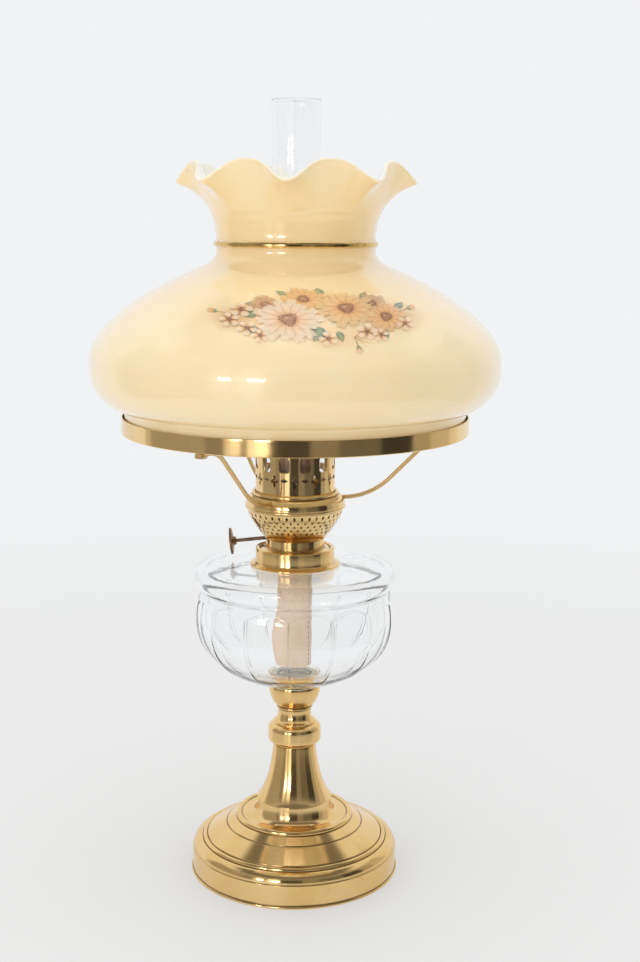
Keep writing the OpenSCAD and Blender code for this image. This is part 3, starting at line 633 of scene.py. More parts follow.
def print_colours():
    """The fired transfer on the shade, under the same glossy skin."""
    f = new_finish("print_colours")
    spot = f.place()[0]
    paint = f.mark("paint", "Color")
    grain = f.cloud(spot, 900.0, 3.0)
    patchy = f.cloud(spot, 260.0, 3.0)
    colour = f.blend(grain.between(0.45, 0.8) * 0.22, paint, tint(0.93, 0.78, 0.52))
    alpha = f.mark("paint", "Alpha") * (1.06 - 0.3 * patchy)
    values = {"Base Color": colour, "Alpha": alpha, "Roughness": 0.3 + 0.1 * grain, "IOR": 1.5,
              "Coat Weight": 1.0, "Coat Roughness": 0.02, "Coat IOR": 1.5}
    return f.end(f.surface(values))


def gilt():
    """Bright gold line, a little rubbed through."""
    f = new_finish("gilt")
    spot = f.place()[0]
    rubbed = f.cloud(spot, 300.0, 4.0)
    colour = f.blend(rubbed.between(0.4, 0.75), tint(0.80, 0.56, 0.22), tint(0.62, 0.40, 0.14))
    values = {"Base Color": colour, "Metallic": 1.0, "Roughness": 0.05 + 0.10 * rubbed}
    return f.end(f.surface(values))


turned_brass = brass("turned_brass", tint(0.89, 0.62, 0.285), tint(0.84, 0.56, 0.225), 0.11, 0.000003, 0.9)
sheet_brass = brass("sheet_brass", tint(0.89, 0.64, 0.31), tint(0.84, 0.58, 0.25), 0.10, 0.000002, 0.85)
wire_brass = brass("wire_brass", tint(0.86, 0.61, 0.30), tint(0.80, 0.54, 0.24), 0.32, 0.0)
basket_brass = brass("basket_brass", tint(0.86, 0.62, 0.31), tint(0.78, 0.54, 0.24), 0.13, 0.000002)
old_brass = tarnished("old_brass", tint(0.42, 0.25, 0.12), tint(0.20, 0.115, 0.06), 0.22)
old_steel = tarnished("old_steel", tint(0.36, 0.27, 0.20), tint(0.15, 0.10, 0.075), 0.25)
bright_steel = tarnished("bright_steel", tint(0.58, 0.58, 0.57), tint(0.40, 0.38, 0.35), 0.2)
iron = cast_iron()
green_felt = felt()
white_plaster = plaster()
wick_cotton = cotton()
font_finish = clear_glass("cut_glass", tint(0.985, 0.99, 0.99), 0.0002, painted_refraction_lines)
chimney_finish = clear_glass("chimney_glass", tint(0.995, 0.996, 0.998), 0.0001)
shade_finish = opal_glass()
print_finish = print_colours()
gilt_finish = gilt()


# Pieces

def piece(mesh, body, finish, slot, *nodes):
    """A mesh as a piece that rides on a body and stands for the named nodes."""
    obj = placed(mesh.name, mesh)
    mesh.materials.append(finish)
    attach(obj, body)
    if nodes:
        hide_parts(*nodes)


def dress(node, finish):
    """A new finish for a solid that stays as it is."""
    materials = frame["nodes"][node].data.materials
    materials.clear()
    materials.append(finish)


def foot():
    wall, thick = foot_r, 2.4
    shoulder = wall - 7.2
    outline = arc((wall, foot_rim), foot_rim, -90, 90)
    outline += [(wall, 16.7), (wall - 0.6, 17.3)]
    outline += arc((shoulder, 17.3), 6.6, 6, 90, 14)
    outline += [(shoulder - 0.1, 23.3)]
    outline += arc((shoulder - 2.1, 24.3), 1.8, -20, 140, 12)
    outline += [(62.8, 26.6), (49.2, 34.3), (48.9, 34.1), (48.5, 34.9), (42.7, 38.3)]
    outline += arc((40.2, 40), 2, -35, 160, 14)
    boss_top = boss_z + rim_drop
    outline += curve((34, 40.5), (28.6, 40.6), (26.4, 43.6), (25.9, boss_top - 0.7), 28)
    boss_under = boss_top - thick
    outline += [(25.8, boss_top), (rod_hole, boss_top), (rod_hole, boss_under), (23.2, boss_under)]
    outline += [(23.2, 35.6), (40.2, 35.6), (62.8, 20.7), (wall - thick, 12.5), (wall - thick, 0)]
    piece(turned("foot", outline, steps=216), "stand", turned_brass, "brass", "foot_shell")


def felt_pad():
    edge = foot_r - 2.7
    outline = [(0, 0), (edge - 0.8, 0)] + arc((edge - 0.9, 1.5), 1.4, -80, 80) + [(edge - 0.8, 3), (0, 3)]
    piece(turned("felt_pad", outline, edge=0.2), "stand", green_felt, "felt", "foot_felt")


def stem():
    """The stem's turned pieces: trumpet, knop and cup, and the plaster that the font is bedded on."""
    top_r, top_h = 15.3, 37.5
    outline = [(24.4, rim_drop), (26.8, rim_drop), (27.1, rim_drop + 0.3)]
    flare = curve((26.9, rim_drop + 0.6), (21.4, 4), (17, 17.5), (top_r, top_h), 36)
    hollow = [p for p in beside(flare, 2) if rim_drop + 1 < p[1] < top_h - 5]
    outline += flare + [(rod_hole, top_h), (rod_hole, top_h - 4)] + hollow[::-1]
    piece(turned("stem", outline, boss_z), "stand", turned_brass, "brass", "stem_trumpet")
    knop = [(rod_hole, 0), (top_r - 0.2, 0), (top_r, 0.3), (top_r, 1.2)]
    knop += arc((15.6, 4.6), 3.4, -50, 0) + arc((14.8, 11.4), 4.2, 0, 62, 14) + [(15, 16), (rod_hole, 16)]
    piece(turned("knop", knop, knop_z), "stand", turned_brass, "brass", "stem_knop")
    thread_r = 4.05
    cup = [(thread_r, 0), (15.1, 0), (15.4, 0.4), (15.4, 1.2), (14.9, 1.6)]
    cup += curve((14.5, 1.8), (12.3, 3.2), (11.9, 5), (11.9, 8), 16) + [(12.2, 11.2)]
    cup += arc((12.1, 12.1), 0.9, -60, 60)
    cup += curve((12.7, 13.1), (15.5, 15.2), (18.1, 19), (18.7, 27.8), 24)
    cup += [(18.5, 29), (17.6, 28.8), (17.6, 28.1), (13.2, 28.1), (13.2, 20.4), (thread_r, 20.4)]
    piece(turned("cup", cup, cup_z), "stand", turned_brass, "brass", "font_cup")
    bed = rectangle(11.45, 17.5, 28.3, 28.95)
    piece(turned("plaster_bed", bed, cup_z, edge=0.1), "stand", white_plaster, "plaster")


def font():
    """The cut glass font: bowed panels between fine ridges, arched at the top, over a smooth inside."""
    belly = curve((20.5, 2.4), (46, 7.5), (font_r, 21.5), (font_r, 49), 64)
    shoulder = curve((font_r, 50.5), (font_r, 59), (68.7, 66.4), (66, 70.6), 40)
    top_ring = curve((66, 71.4), (70.8, 71.6), (75.5, 84.5), (65.2, 86.9), 40)
    cut_part = belly + shoulder
    foot_disc = [(0, -8), (11.2, -8), (11.2, 0), (19, 0), (19.6, 0.6), (19.6, 1.8)]
    top_out = [(56.2, 87.5), (40, 87.5), (23.7, 87.5), (23.7, 95.7), (20.5, 95.7)]
    top_in = [(20.5, 83.3), (40, 83.3), (56.2, 83.3)]
    inside = curve((60.2, 82.7), (69, 81), (68.6, 75), (61.8, 71), 24)
    inside += [(62.3, 69.6), (63.1, 67.8), (63.8, 66), (64.6, 62), (65.2, 58), (65.7, 54)]
    inside += curve((0, 6), (34, 6), (66, 20), (66, 50), 56)[::-1]
    skin = [1.0] * len(foot_disc + cut_part + top_ring + top_out) + [0.0] * len(top_in + inside)
    half = 180 / panel_count
    shares = [0, 0.25, 0.48, 0.66, 0.79, 0.88, 0.94, 0.975, 0.993]
    offsets = [-half] + [-s * half for s in reversed(shares[1:])] + [s * half for s in shares]
    middles = [ridge_turn + half + 2 * half * i for i in range(panel_count)]
    turns = [m + o for m in middles for o in offsets]
    flat = math.cos(math.radians(half))
    bow, sunk, ridge_w = 0.25, 0.35, 0.8

    def outline_at(turn):
        across = (turn - ridge_turn) % (2 * half) - half
        panel = 1 - bow * (1 - flat / math.cos(math.radians(across)))
        arch = arch_h - arch_fall * (across / half) ** 2
        ridge = max(0, 1 - math.radians(half - abs(across)) * font_r / ridge_w)
        cut = []
        for r, z in cut_part:
            begin = clamped((z - 11) / 7)
            stop = clamped((arch - z) / 1.4)
            depth = begin * begin * (3 - 2 * begin) * stop * stop * (3 - 2 * stop)
            cut.append((r - depth * (r * (1 - panel) + sunk * (1 - ridge)), z))
        return raised(foot_disc + cut + top_ring + top_out + top_in + inside, font_z)

    piece(swept("font", turns, outline_at, skin, "skin"), "stand", font_finish, "clear_glass", "font_glass")


def collar():
    wall = collar_r
    outline = [(wall - 1.2, 0), (wall + 3.3, 0)] + arc((wall + 3, 0.8), 0.8, -40, 70)
    outline += curve((wall + 2.2, 1.8), (wall + 0.7, 2.2), (wall + 0.1, 2.8), (wall, 4.4), 10)
    outline += arc((wall - 1.3, 11.5), 1.3, 0, 90) + arc((wall - 2.3, 12.1), 0.7, 90, 180)
    outline += [(wall - 3, 9.7), (18.9, 9.7), (18.9, 0.6), (20.1, 0.6), (20.1, 8.5), (wall - 1.2, 8.5)]
    piece(turned("collar", outline, collar_z), "stand", turned_brass, "brass", "font_collar")


def burner_base():
    """The burner's foot: a screw thread below, a flange on the collar's seat, and the neck."""
    pitch = 1.4
    thread = [(18.2, -6.6 + 0.1 * i) for i in range(60)]
    rest = [(18.6, 0), (24.1, 0), (24.4, 0.3), (24.4, 2), (23.9, 2.5), (21.3, 2.8), (20.5, 3.6),
            (20.5, burner_neck_h), (19.6, burner_neck_h), (19.6, 2.2), (17, 2.2), (17, -7), (18, -7)]
    rest = fine(eased(rest, 0.25))
    dirt = [0.3] * len(thread) + creases(rest)

    def outline_at(turn):
        wound = []
        for r, z in thread:
            phase = (z / pitch - turn / 360) % 1
            wound.append((r + 0.4 * (1 - abs(2 * phase - 1)), z))
        return raised(wound + rest, seat_z)

    base = swept("burner_foot", even_turns(144), outline_at, dirt)
    piece(base, "burner", sheet_brass, "brass", "burner_base")


def basket_line(u):
    """The bowl's outer line, from its foot at 0 to its rim at 1."""
    return (20.7 + 13.8 * (1 - (1 - u) ** 1.5), 24.1 * u)


def basket():
    """The pierced bowl: three staggered rows of round air holes between two rows of taller ones."""
    line = [basket_line(0.925 * i / 40) for i in range(41)]
    outline = line + arc((34.3, 23.1), 1, -80, 90) + [(25.65, 24.1), (25.65, 23.2)]
    outline += [p for p in beside(line, sheet_t)[::-1] if p[1] < 22.4] + [(19.6, 0)]
    rows = [(0.30, 1.5, 0), (0.43, 1, 0.5), (0.54, 1, 0), (0.66, 1, 0.5), (0.80, 1.7, 0)]
    holes = []
    per_row = 40
    hole_r = 0.85
    lean = math.radians(24)
    spots = [2 * math.pi * j / 16 for j in range(16)]
    for u, tall, shift in rows:
        r, z = basket_line(u)
        for i in range(per_row):
            a = math.radians(front + (i + shift) * 360 / per_row)
            out = Vector((math.cos(a) * math.cos(lean), math.sin(a) * math.cos(lean), -math.sin(lean)))
            side = Vector((-math.sin(a), math.cos(a), 0))
            up = out.cross(side)
            middle = Vector((r * math.cos(a), r * math.sin(a), z + basket_z))
            edge = [hole_r * (math.cos(s) * side + tall * math.sin(s) * up) for s in spots]
            holes.append([[tuple(middle + push * out + e) for e in edge] for push in (2.5, -2.5)])
    bowl = pierced(turned("basket", outline, basket_z, steps=216, edge=0.15), prisms("holes", holes))
    piece(bowl, "burner", basket_brass, "brass", "burner_basket")


def tine_gap():
    """The keyhole between two tines, as (across, height) from its foot."""
    half = arc((1.8, 2), 2, -90, 0, 6)
    half += curve((3.8, 7), (3.8, 9), (2.9, 9), (2.9, 11), 8)
    half += curve((2.9, 12), (2.9, 14), (4.5, 14), (4.9, 16.5), 8) + [(6, 22)]
    return half + [(-x, z) for x, z in reversed(half)]


def spade():
    """A tall piercing with a lobe on each side."""
    right = [(0, -4.8), (1.1, -2.4), (0.8, -1.2)] + arc((1.7, 0.3), 1.2, -110, 90, 8)
    right += [(0.9, 2), (1.1, 3.2), (0, 4.9)]
    return right + [(-x, z) for x, z in reversed(right[1:-1])]


def gallery():
    """The chimney gallery: a sheet cylinder cut into tines, with lozenge and spade piercings below them."""
    inner = gallery_r - sheet_t
    height, shelf_h, shelf_top, shelf_w = 42.6, 13.7, 14.6, 3
    shelf = inner - shelf_w
    outline = [(inner, 0), (gallery_r, 0), (gallery_r, height), (inner, height)]
    outline += [(inner, shelf_top), (shelf, shelf_top), (shelf, shelf_h), (inner, shelf_h)]
    tines = 12
    shapes = []
    lozenge = [(0, -1.5), (3, 0), (0, 1.5), (-3, 0)]
    for i in range(tines):
        tine = front + i * 360 / tines
        gap = front + (i + 0.5) * 360 / tines
        for shape, turn, rise in ((tine_gap(), gap, 26.1), (lozenge, gap, 20.8), (spade(), tine, 19.8)):
            lifted = raised(shape, gallery_z + rise)
            shapes.append(radial_prism(lifted, turn, gallery_r - 4, gallery_r + 4))
    sheet = turned("gallery", outline, gallery_z, steps=216, edge=0.15)
    piece(pierced(sheet, prisms("piercings", shapes)), "burner", sheet_brass, "brass", "gallery")


def wick_tube():
    """The wick tube, with windows for the spur wheels and a slot at the wick's seam marked in its wall.

    The prisms of these marks are inside out, so they leave faces in the wall and don't open it.
    """
    blank = turned("wick_tube", rectangle(12.3, 12.9, low("wick_tube"), tube_top), steps=128, edge=0.12)
    wheel_x, half_w, half_h = 4.5, 1.6, 4.3
    shaft_z = winder_axis()[0].z / MM
    marks = []
    for x in (-wheel_x, wheel_x):
        window = rectangle(x - half_w, x + half_w, 12, 15)
        marks.append([[(*p, shaft_z + h) for p in window] for h in (-half_h, half_h)])
    a = math.radians(seam_turn)
    slot = rectangle(11, 14, -1.1, 1.1)
    slot = [(x * math.cos(a) - y * math.sin(a), x * math.sin(a) + y * math.cos(a)) for x, y in slot]
    marks.append([[(*p, gallery_z + h) for p in slot] for h in (-9, 5)])
    piece(pierced(blank, prisms("windows", marks)), "burner", old_brass, "dark_brass", "wick_tube")


def winder_axis():
    """The winding shaft's place and direction, towards the knob."""
    joint = next(j for j in frame["joints"] if j["name"] == "knob_turn")
    return Vector(joint["pos_m"]), Vector(joint["axis"]).normalized()


def along_shaft(mesh):
    place, direction = winder_axis()
    mesh.transform(Matrix.Translation(place) @ direction.to_track_quat("Z", "Y").to_matrix().to_4x4())
    return mesh


def winder():
    """The winding shaft with its bush and its scalloped knob."""
    shaft = [(0, -8), (1.0, -8), (1.3, -7.6), (1.3, 43.6), (1.1, 44.2), (0, 44.2)]
    piece(along_shaft(turned("shaft", shaft, steps=48, edge=0.1)), "winder", old_steel, "steel", "wick_shaft")
    bush = [(1.36, 10.3), (2.5, 10.3), (2.6, 10.4), (2.6, 17.3), (2.2, 17.8), (1.36, 17.8)]
    bush = along_shaft(turned("bush", bush, steps=64, edge=0.12))
    piece(bush, "burner", sheet_brass, "brass", "shaft_bush")
    knob_r, knob_reach = 9.5, 45
    plain = [(0, -0.2), (1.32, -0.2), (1.32, -2.2), (2.6, -2.4), (3, -1.6), (3.2, -0.6), (knob_r - 1.4, 0.2),
             (knob_r, 0.7), (knob_r, 1.9), (knob_r - 1.2, 2.1), (knob_r - 1.8, 1.5), (3.4, 0.9),
             (2.6, 2.6), (0, 3)]
    plain = fine(eased(raised(plain, knob_reach), 0.2), 0.6)
    scallops = 18

    def outline_at(turn):
        notch = 0.4 * (0.5 + 0.5 * math.cos(math.radians(scallops * turn))) ** 3
        return [(r - notch * clamped((r - knob_r + 1.2) / 1.2), z) for r, z in plain]

    disc = swept("knob", even_turns(144), outline_at)
    piece(along_shaft(disc), "winder", old_brass, "dark_brass", "wick_knob")


def wick():
    """The rolled cotton band: open at its seam, swollen to one side at its loose end, a little uneven."""
    foot_h, top_h = low("wick"), high("wick")
    outer_r, inner_r = 11.95, 9.45
    seam = 20
    across = 72
    rows = 150

    def ring(h):
        fade = math.sin(math.pi * clamped((h + 12) / 62)) ** 2
        free = 1 - clamped((h + foot_h - seat_z + 14) / 10)
        points = []
        for inside in (False, True):
            for j in range(across + 1):
                k = across - j if inside else j
                turn = math.radians(seam_turn + seam + (360 - 2 * seam) * k / across)
                swell = 4.2 * fade * max(0, -math.cos(turn)) ** 2
                rough = noise.noise(Vector((3 * math.cos(turn), 3 * math.sin(turn), h / 9)))
                r = (inner_r if inside else outer_r) + swell + 0.45 * free * rough
                points.append((r * math.cos(turn), r * math.sin(turn), foot_h + h))
        return points

    rings = [ring((top_h - foot_h) * i / rows) for i in range(rows + 1)]
    piece(stacked("wick", rings, band=True), "wick_body", wick_cotton, "cotton", "wick")


def chimney():
    line = [(26.2, 0.9), (26.2, 15), (26.2, 23)]
    line += curve((26.2, 27), (26.2, 35), (15.6, 36), (15.2, 45), 36)
    line += curve((15.22, 48), (15.5, 90), (15.6, 170), (15.9, 218), 24)
    line += curve((15.95, 222), (16.2, 238), (16.6, 252), (16.75, 260.2), 16)
    wall = 1.8
    inner = beside(line, wall)
    rim = arc((line[-1][0] - wall / 2, 260.1), 0.88, 20, 160, 6)
    base = arc((line[0][0] - wall / 2, wall / 2), 0.88, 200, 340, 6)
    outline = raised(line + rim + inner[::-1] + base, chimney_z)
    skin = [1.0] * len(line + rim) + [0.0] * len(inner + base)
    glass = swept("chimney", even_turns(144), lambda turn: outline, skin, "skin")
    piece(glass, "chimney_body", chimney_finish, "clear_glass", "chimney")


def holder():
    """The shade holder: domed collar, three wire arms with their lugs, and the ring."""
    bore = 28.3
    outline = [(bore, 0), (35, 0), (35.2, 0.5), (35, 1.4)]
    outline += curve((34.8, 1.8), (34.8, 4.8), (32.6, 7.2), (30.3, 7.6), 16)
    outline += arc((29.3, 8.9), 1.3, -40, 120) + [(bore, 9.8)]
    dome = turned("holder_collar", outline, gallery_z, edge=0.15)
    hole_r = wire_r + 0.06
    circle = raised(arc((0, 0), hole_r, 0, 345, 23), gallery_z + arm_h)
    sockets = [radial_prism(circle, turn, bore + 1.6, bore + 10) for turn in arm_turns.values()]
    piece(pierced(dome, prisms("sockets", sockets)), "holder", sheet_brass, "brass", "holder_collar")
    for name, turn in arm_turns.items():
        arm = wire("holder_arm_" + name, arm_path(), wire_r)
        arm.transform(Matrix.Rotation(math.radians(turn), 4, "Z"))
        piece(arm, "holder", wire_brass, "brass", "holder_arm_" + name)
    band = ring_r - ring_t
    ledge = band - 6.5
    ring = [(ledge, 0), (ring_r - 0.5, 0), (ring_r, 0.5)]
    ring += [(ring_r, 11), (band, 11), (band, ring_t), (ledge, ring_t)]
    ring = turned("holder_ring", ring, ring_z, steps=240, edge=0.08)
    piece(ring, "holder", sheet_brass, "brass", "holder_ring")
    lugs()


def arm_path():
    """One arm in its own plane: two bends with straight runs before, between and after them."""
    start, stop = 33.5, ring_r - 12
    low_bend, top_bend = 46, 24
    foot_z = gallery_z + arm_h
    rise = ring_z - wire_r - foot_z
    bends = low_bend + top_bend
    span = math.hypot(stop - start, rise - bends)
    slope = math.degrees(math.atan2(rise - bends, stop - start) + math.asin(bends / span))
    path = [(30.3, foot_z)] + arc((start, foot_z + low_bend), low_bend, -90, -90 + slope, 24)
    path += arc((stop, foot_z + rise - top_bend), top_bend, 90 + slope, 90, 20)
    return path + [(stop + 10, foot_z + rise)]


def lugs():
    """Soldered lugs under the ring: rounded blocks that the arm ends lie in."""
    rings = []
    length, half_w, half_d, square = 6.5, 3.4, 1.85, 0.45
    inner_end = ring_r - 6.9
    for k in range(9):
        x = inner_end + length * k / 8
        pinch = 0.72 + 0.28 * math.sin(math.pi * (k + 0.8) / 9.6)
        ring = []
        for j in range(24):
            a = math.radians(15 * j)
            wide = half_w * math.copysign(abs(math.cos(a)) ** square, math.cos(a)) * pinch
            deep = half_d * math.copysign(abs(math.sin(a)) ** square, math.sin(a))
            lowest = -1.9 + deep * (pinch if deep < 0 else 1)
            ring.append((x, wide, ring_z + lowest))
        rings.append(ring[::-1])
    made = []
    for turn in arm_turns.values():
        lug = stacked("lug", rings)
        lug.transform(Matrix.Rotation(math.radians(turn), 4, "Z"))
        made.append(lug)
    piece(joined("arm_lugs", made), "holder", wire_brass, "brass", "arm_lugs")


def joined(name, meshes):
    """Several meshes as one."""
    points = []
    faces = []
    for mesh in meshes:
        base = len(points)
        points += [tuple(v.co) for v in mesh.vertices]
        faces += [tuple(base + k for k in face.vertices) for face in mesh.polygons]
    return smoothed(new_mesh(name, points, faces))


# The shade

def shade_wall(beads):
    """The shade's outer line from its foot to the neck, with or without its beads."""
    neck = shade_neck_r
    line = [(fitter_r, 0.8), (fitter_r, 5), (fitter_r, 10), (fitter_r, 13.7)]
    line += curve((fitter_r + 0.7, 15.8), (128.6, 16.4), (shade_r, 27.4), (shade_r, 43.5), 40)
    line += curve((shade_r, 47.7), (shade_r, 69.4), (111.8, 90.4), (80, 105.2), 64)
    line += curve((76.4, 106.9), (62.4, 113.2), (neck, 115.2), (neck, 122.2), 24)
    if not beads:
        return line + [(neck, 124), (neck, 127), (neck, 130), (neck, 132)]
    bead = arc((neck - bead_sunk, bead_z), bead_r, -60, 60, 16)
    line += [(neck + 0.1, 124.6)] + bead + [(neck + 0.1, 129.8), (neck, 132)]
    ridges = (118.3, 135.2, 146)
    return [(r + sum(0.35 * math.exp(-((z - m) / 1.5) ** 2) for m in ridges), z) for r, z in line]


def crown_line(turn):
    """The crown's middle line at a turn, from the neck to the ruffled rim."""
    phase = math.radians(lobe_count * (turn - spout_turn))
    broad = 0.2
    swing = math.cos(phase) + broad * (math.cos(2 * phase) - 1)
    middle = 52.8
    rim = (75.5 + 5 * swing, 174.2 - 6.3 * swing)
    curl = (rim[0] - 13.3 - 5.3 * swing, rim[1] - 12.7 + 7.8 * swing)
    return curve((middle, 133.2), (middle + 0.6, 146.9), curl, rim, crown_steps)


def shade():
    """The glass with its white casing inside, and the gilt line on the neck's bead."""
    outer = shade_wall(True)
    inner = beside(shade_wall(False), shade_t)
    foot_lip = arc((fitter_r - shade_t / 2, 1.0), 1.0, 190, 350, 8)
    halves = [shade_t / 2 - 0.25 * i / crown_steps for i in range(crown_steps + 1)]
    lip_steps = 8
    ridges = ((137.6, 0.25), (146, 0.3))

    def outline_at(turn):
        line = crown_line(turn)
        outside = beside(line, [-h for h in halves])
        outside = [(r + sum(k * math.exp(-((z - m) / 1.6) ** 2) for m, k in ridges), z) for r, z in outside]
        inside = beside(line, halves)
        heading = math.degrees(math.atan2(line[-1][1] - line[-2][1], line[-1][0] - line[-2][0]))
        lip = arc(line[-1], halves[-1], heading - 75, heading + 75, lip_steps)
        return raised(outer + outside + lip + inside[::-1] + inner[::-1] + foot_lip, shade_z)

    casing = [0.0] * len(outer + halves) + [i / lip_steps for i in range(lip_steps + 1)]
    casing += [1.0] * len(halves + inner) + [0.5] * len(foot_lip)
    glass = swept("shade", even_turns(256), outline_at, casing, "casing")
    piece(glass, "shade_body", shade_finish, "opal_glass", "shade")
    middle = (shade_neck_r - bead_sunk, bead_z + shade_z)
    ring = arc(middle, bead_r + 0.08, -38, 38, 14) + arc(middle, bead_r - 0.04, 38, -38, 14)
    piece(swept("gilt_line", even_turns(240), lambda turn: ring), "shade_body", gilt_finish, "brass")


# The flower print, in millimetres across and up the glass from the print's middle

cream = (0.97, 0.76, 0.50)
peach = (0.94, 0.58, 0.31)
gold = (0.92, 0.50, 0.19)
burnt = (0.70, 0.36, 0.17)
rust = (0.50, 0.23, 0.12)
umber = (0.32, 0.15, 0.09)
ochre = (0.72, 0.46, 0.23)
leaf_green = (0.20, 0.29, 0.14)
sea_green = (0.15, 0.27, 0.21)
pale_green = (0.45, 0.50, 0.27)


def mixed(first, second, share):
    return tuple(a + (b - a) * clamped(share) for a, b in zip(first, second))


class FlowerPrint:
    """Painted patches that lie on the shade's outer face, each a little above the one before."""

    def __init__(self, turn, height):
        self.turn = turn
        self.wall = [p for p in shade_wall(False) if p[1] > 20]
        self.along = [0.0]
        for before, here in zip(self.wall, self.wall[1:]):
            self.along.append(self.along[-1] + math.dist(before, here))
        self.middle = next(s for s, p in zip(self.along, self.wall) if p[1] > height)
        self.points = []
        self.paint = []
        self.faces = []
        self.layer = 0

    def on_glass(self, across, up, lift):
        s = self.middle + up
        k = max(i for i, a in enumerate(self.along[:-1]) if a <= s)
        share = (s - self.along[k]) / (self.along[k + 1] - self.along[k])
        (r0, z0), (r1, z1) = self.wall[k], self.wall[k + 1]
        run = math.dist((r0, z0), (r1, z1))
        r = r0 + (r1 - r0) * share + lift * (z1 - z0) / run
        z = z0 + (z1 - z0) * share - lift * (r1 - r0) / run
        a = math.radians(self.turn) + across / r
        return (r * math.cos(a) * MM, r * math.sin(a) * MM, (z + shade_z) * MM)

    def patch(self, steps, sides, at):
        """A painted grid: at gives the place and paint for t, 0 to 1 along, and w, -1 to 1 across."""
        self.layer += 1
        lift = 0.05 + 0.0022 * self.layer
        base = len(self.points)
        wide = 2 * sides + 1
        for i in range(steps + 1):
            for j in range(-sides, sides + 1):
                (across, up), paint = at(i / steps, j / sides)
                self.points.append(self.on_glass(across, up, lift))
                self.paint.append(paint)
        for i in range(steps):
            for j in range(wide - 1):
                k = base + i * wide + j
                self.faces.append((k, k + wide, k + wide + 1, k + 1))

    def petal(self, middle, turn, inner, length, spread, shades, notch=0.1):
        """One petal about the flower's middle: shades run from its root to its edge."""
        def at(t, w):
            edge = length * (1 - 0.30 * abs(w) ** 3.2 - notch * (1 - abs(w)) ** 2.2)
            a = math.radians(turn + spread * w * (0.55 + 0.45 * t ** 0.6))
            rho = inner + (edge - inner) * t
            vein = 0.10 * math.cos(9 * w) * (1 - t)
            tone = mixed(shades[0], shades[1], (t + vein) * 2.2)
            tone = mixed(tone, shades[2], (t - 0.42 + vein) * 1.8)
            tone = mixed(tone, rust, max(0, w - 0.35) * 0.75 + max(0, -w - 0.7) * 0.5)
            spot = (middle[0] + rho * math.cos(a), middle[1] + 0.92 * rho * math.sin(a))
            return spot, (*tone, 0.94 - 0.35 * t ** 6)

        self.patch(8, 6, at)

    def disc(self, middle, size, paint, alpha, fade, squeeze=1.0):
        """A soft round spot."""
        def at(t, w):
            a = math.pi * (1 + w)
            spot = (middle[0] + size * t * math.cos(a), middle[1] + squeeze * size * t * math.sin(a))
            return spot, (*paint, alpha * min(1, (1 - t) / fade))

        self.patch(6, 14, at)

    def flower(self, middle, size, turn, count, shades):
        """An open flower: two rows of petals round a stippled heart."""
        for row, share in enumerate((1.0, 0.84)):
            for k in range(count):
                length = size * share * (1 + 0.09 * math.sin(2.3 * k + turn + 2 * row))
                self.petal(middle, turn + 360 * (k + 0.5 * row) / count, 0.8, length, 172 / count, shades)
        self.disc(middle, 0.34 * size, burnt, 0.75, 0.8)
        self.disc(middle, 0.24 * size, rust, 0.9, 0.4)
        for k in range(16):
            a = 2 * math.pi * k / 16 + 0.1 * turn
            rho = size * (0.22 + 0.05 * math.sin(5.1 * k))
            spot = (middle[0] + rho * math.cos(a), middle[1] + rho * math.sin(a))
            self.disc(spot, 0.03 * size + 0.25, umber, 0.85, 0.4)
        self.disc((middle[0] - 0.05 * size, middle[1] + 0.05 * size), 0.12 * size, ochre, 0.8, 0.8)

    def blossom(self, middle, size, turn):
        """A small pale five-petalled blossom."""
        for k in range(5):
            self.petal(middle, turn + 72 * k, 0.3, size, 28, (rust, peach, (0.97, 0.79, 0.58)), 0.0)
        self.disc(middle, 0.42 * size, burnt, 0.7, 0.7)
        self.disc(middle, 0.26 * size, umber, 0.85, 0.4)

    def leaf(self, root, turn, length, width, green, bend):
        def at(t, w):
            a = math.radians(turn + bend * t)
            b = math.radians(turn + bend * t / 2)
            half = width / 2 * math.sin(math.pi * t ** 0.75) * (1 + 0.10 * math.sin(30 * t))
            tone = mixed(green, pale_green, 0.75 - 1.6 * abs(w) + 0.2 * math.sin(26 * t + 3 * abs(w)))
            tone = mixed(tone, ochre, 0.5 * t ** 3)
            spine = (root[0] + length * t * math.cos(b), root[1] + length * t * math.sin(b))
            spot = (spine[0] - half * w * math.sin(a), spine[1] + half * w * math.cos(a))
            return spot, (*tone, 0.88 - 0.25 * t ** 4)

        self.patch(12, 4, at)

    def tendril(self, root, turn, length, bend, paint, width):
        """A fine curling stroke that fades out."""
        steps = 22
        turns = [math.radians(turn + bend * (i / steps) ** 2) for i in range(steps + 1)]
        spine = [root]
        for a in turns:
            x, y = spine[-1]
            spine.append((x + length / steps * math.cos(a), y + length / steps * math.sin(a)))

        def at(t, w):
            i = round(t * steps)
            off = width / 2 * (1 - 0.8 * t) * w
            spot = (spine[i][0] - off * math.sin(turns[i]), spine[i][1] + off * math.cos(turns[i]))
            return spot, (*paint, 0.75 * (1 - t) ** 0.7)

        self.patch(steps, 1, at)

    def bud(self, root, turn, size, shades):
        a = math.radians(turn)
        for side in (-16, 16, 0):
            self.petal(root, turn + side, 0.2, size * (1.0 if side else 1.1), 17, shades, 0.0)
        for side in (-34, 34):
            self.leaf(root, turn + side, 0.62 * size, 0.2 * size, leaf_green, -side * 0.6)
        stem_end = (root[0] - 0.2 * math.cos(a), root[1] - 0.2 * math.sin(a))
        self.tendril(stem_end, turn + 180, 1.4 * size, 25, leaf_green, 0.8)

    def mesh(self, name):
        mesh = new_mesh(name, self.points, self.faces)
        layer = mesh.attributes.new("paint", "FLOAT_COLOR", "POINT")
        layer.data.foreach_set("color", [c for paint in self.paint for c in paint])
        mesh.shade_smooth()
        return mesh


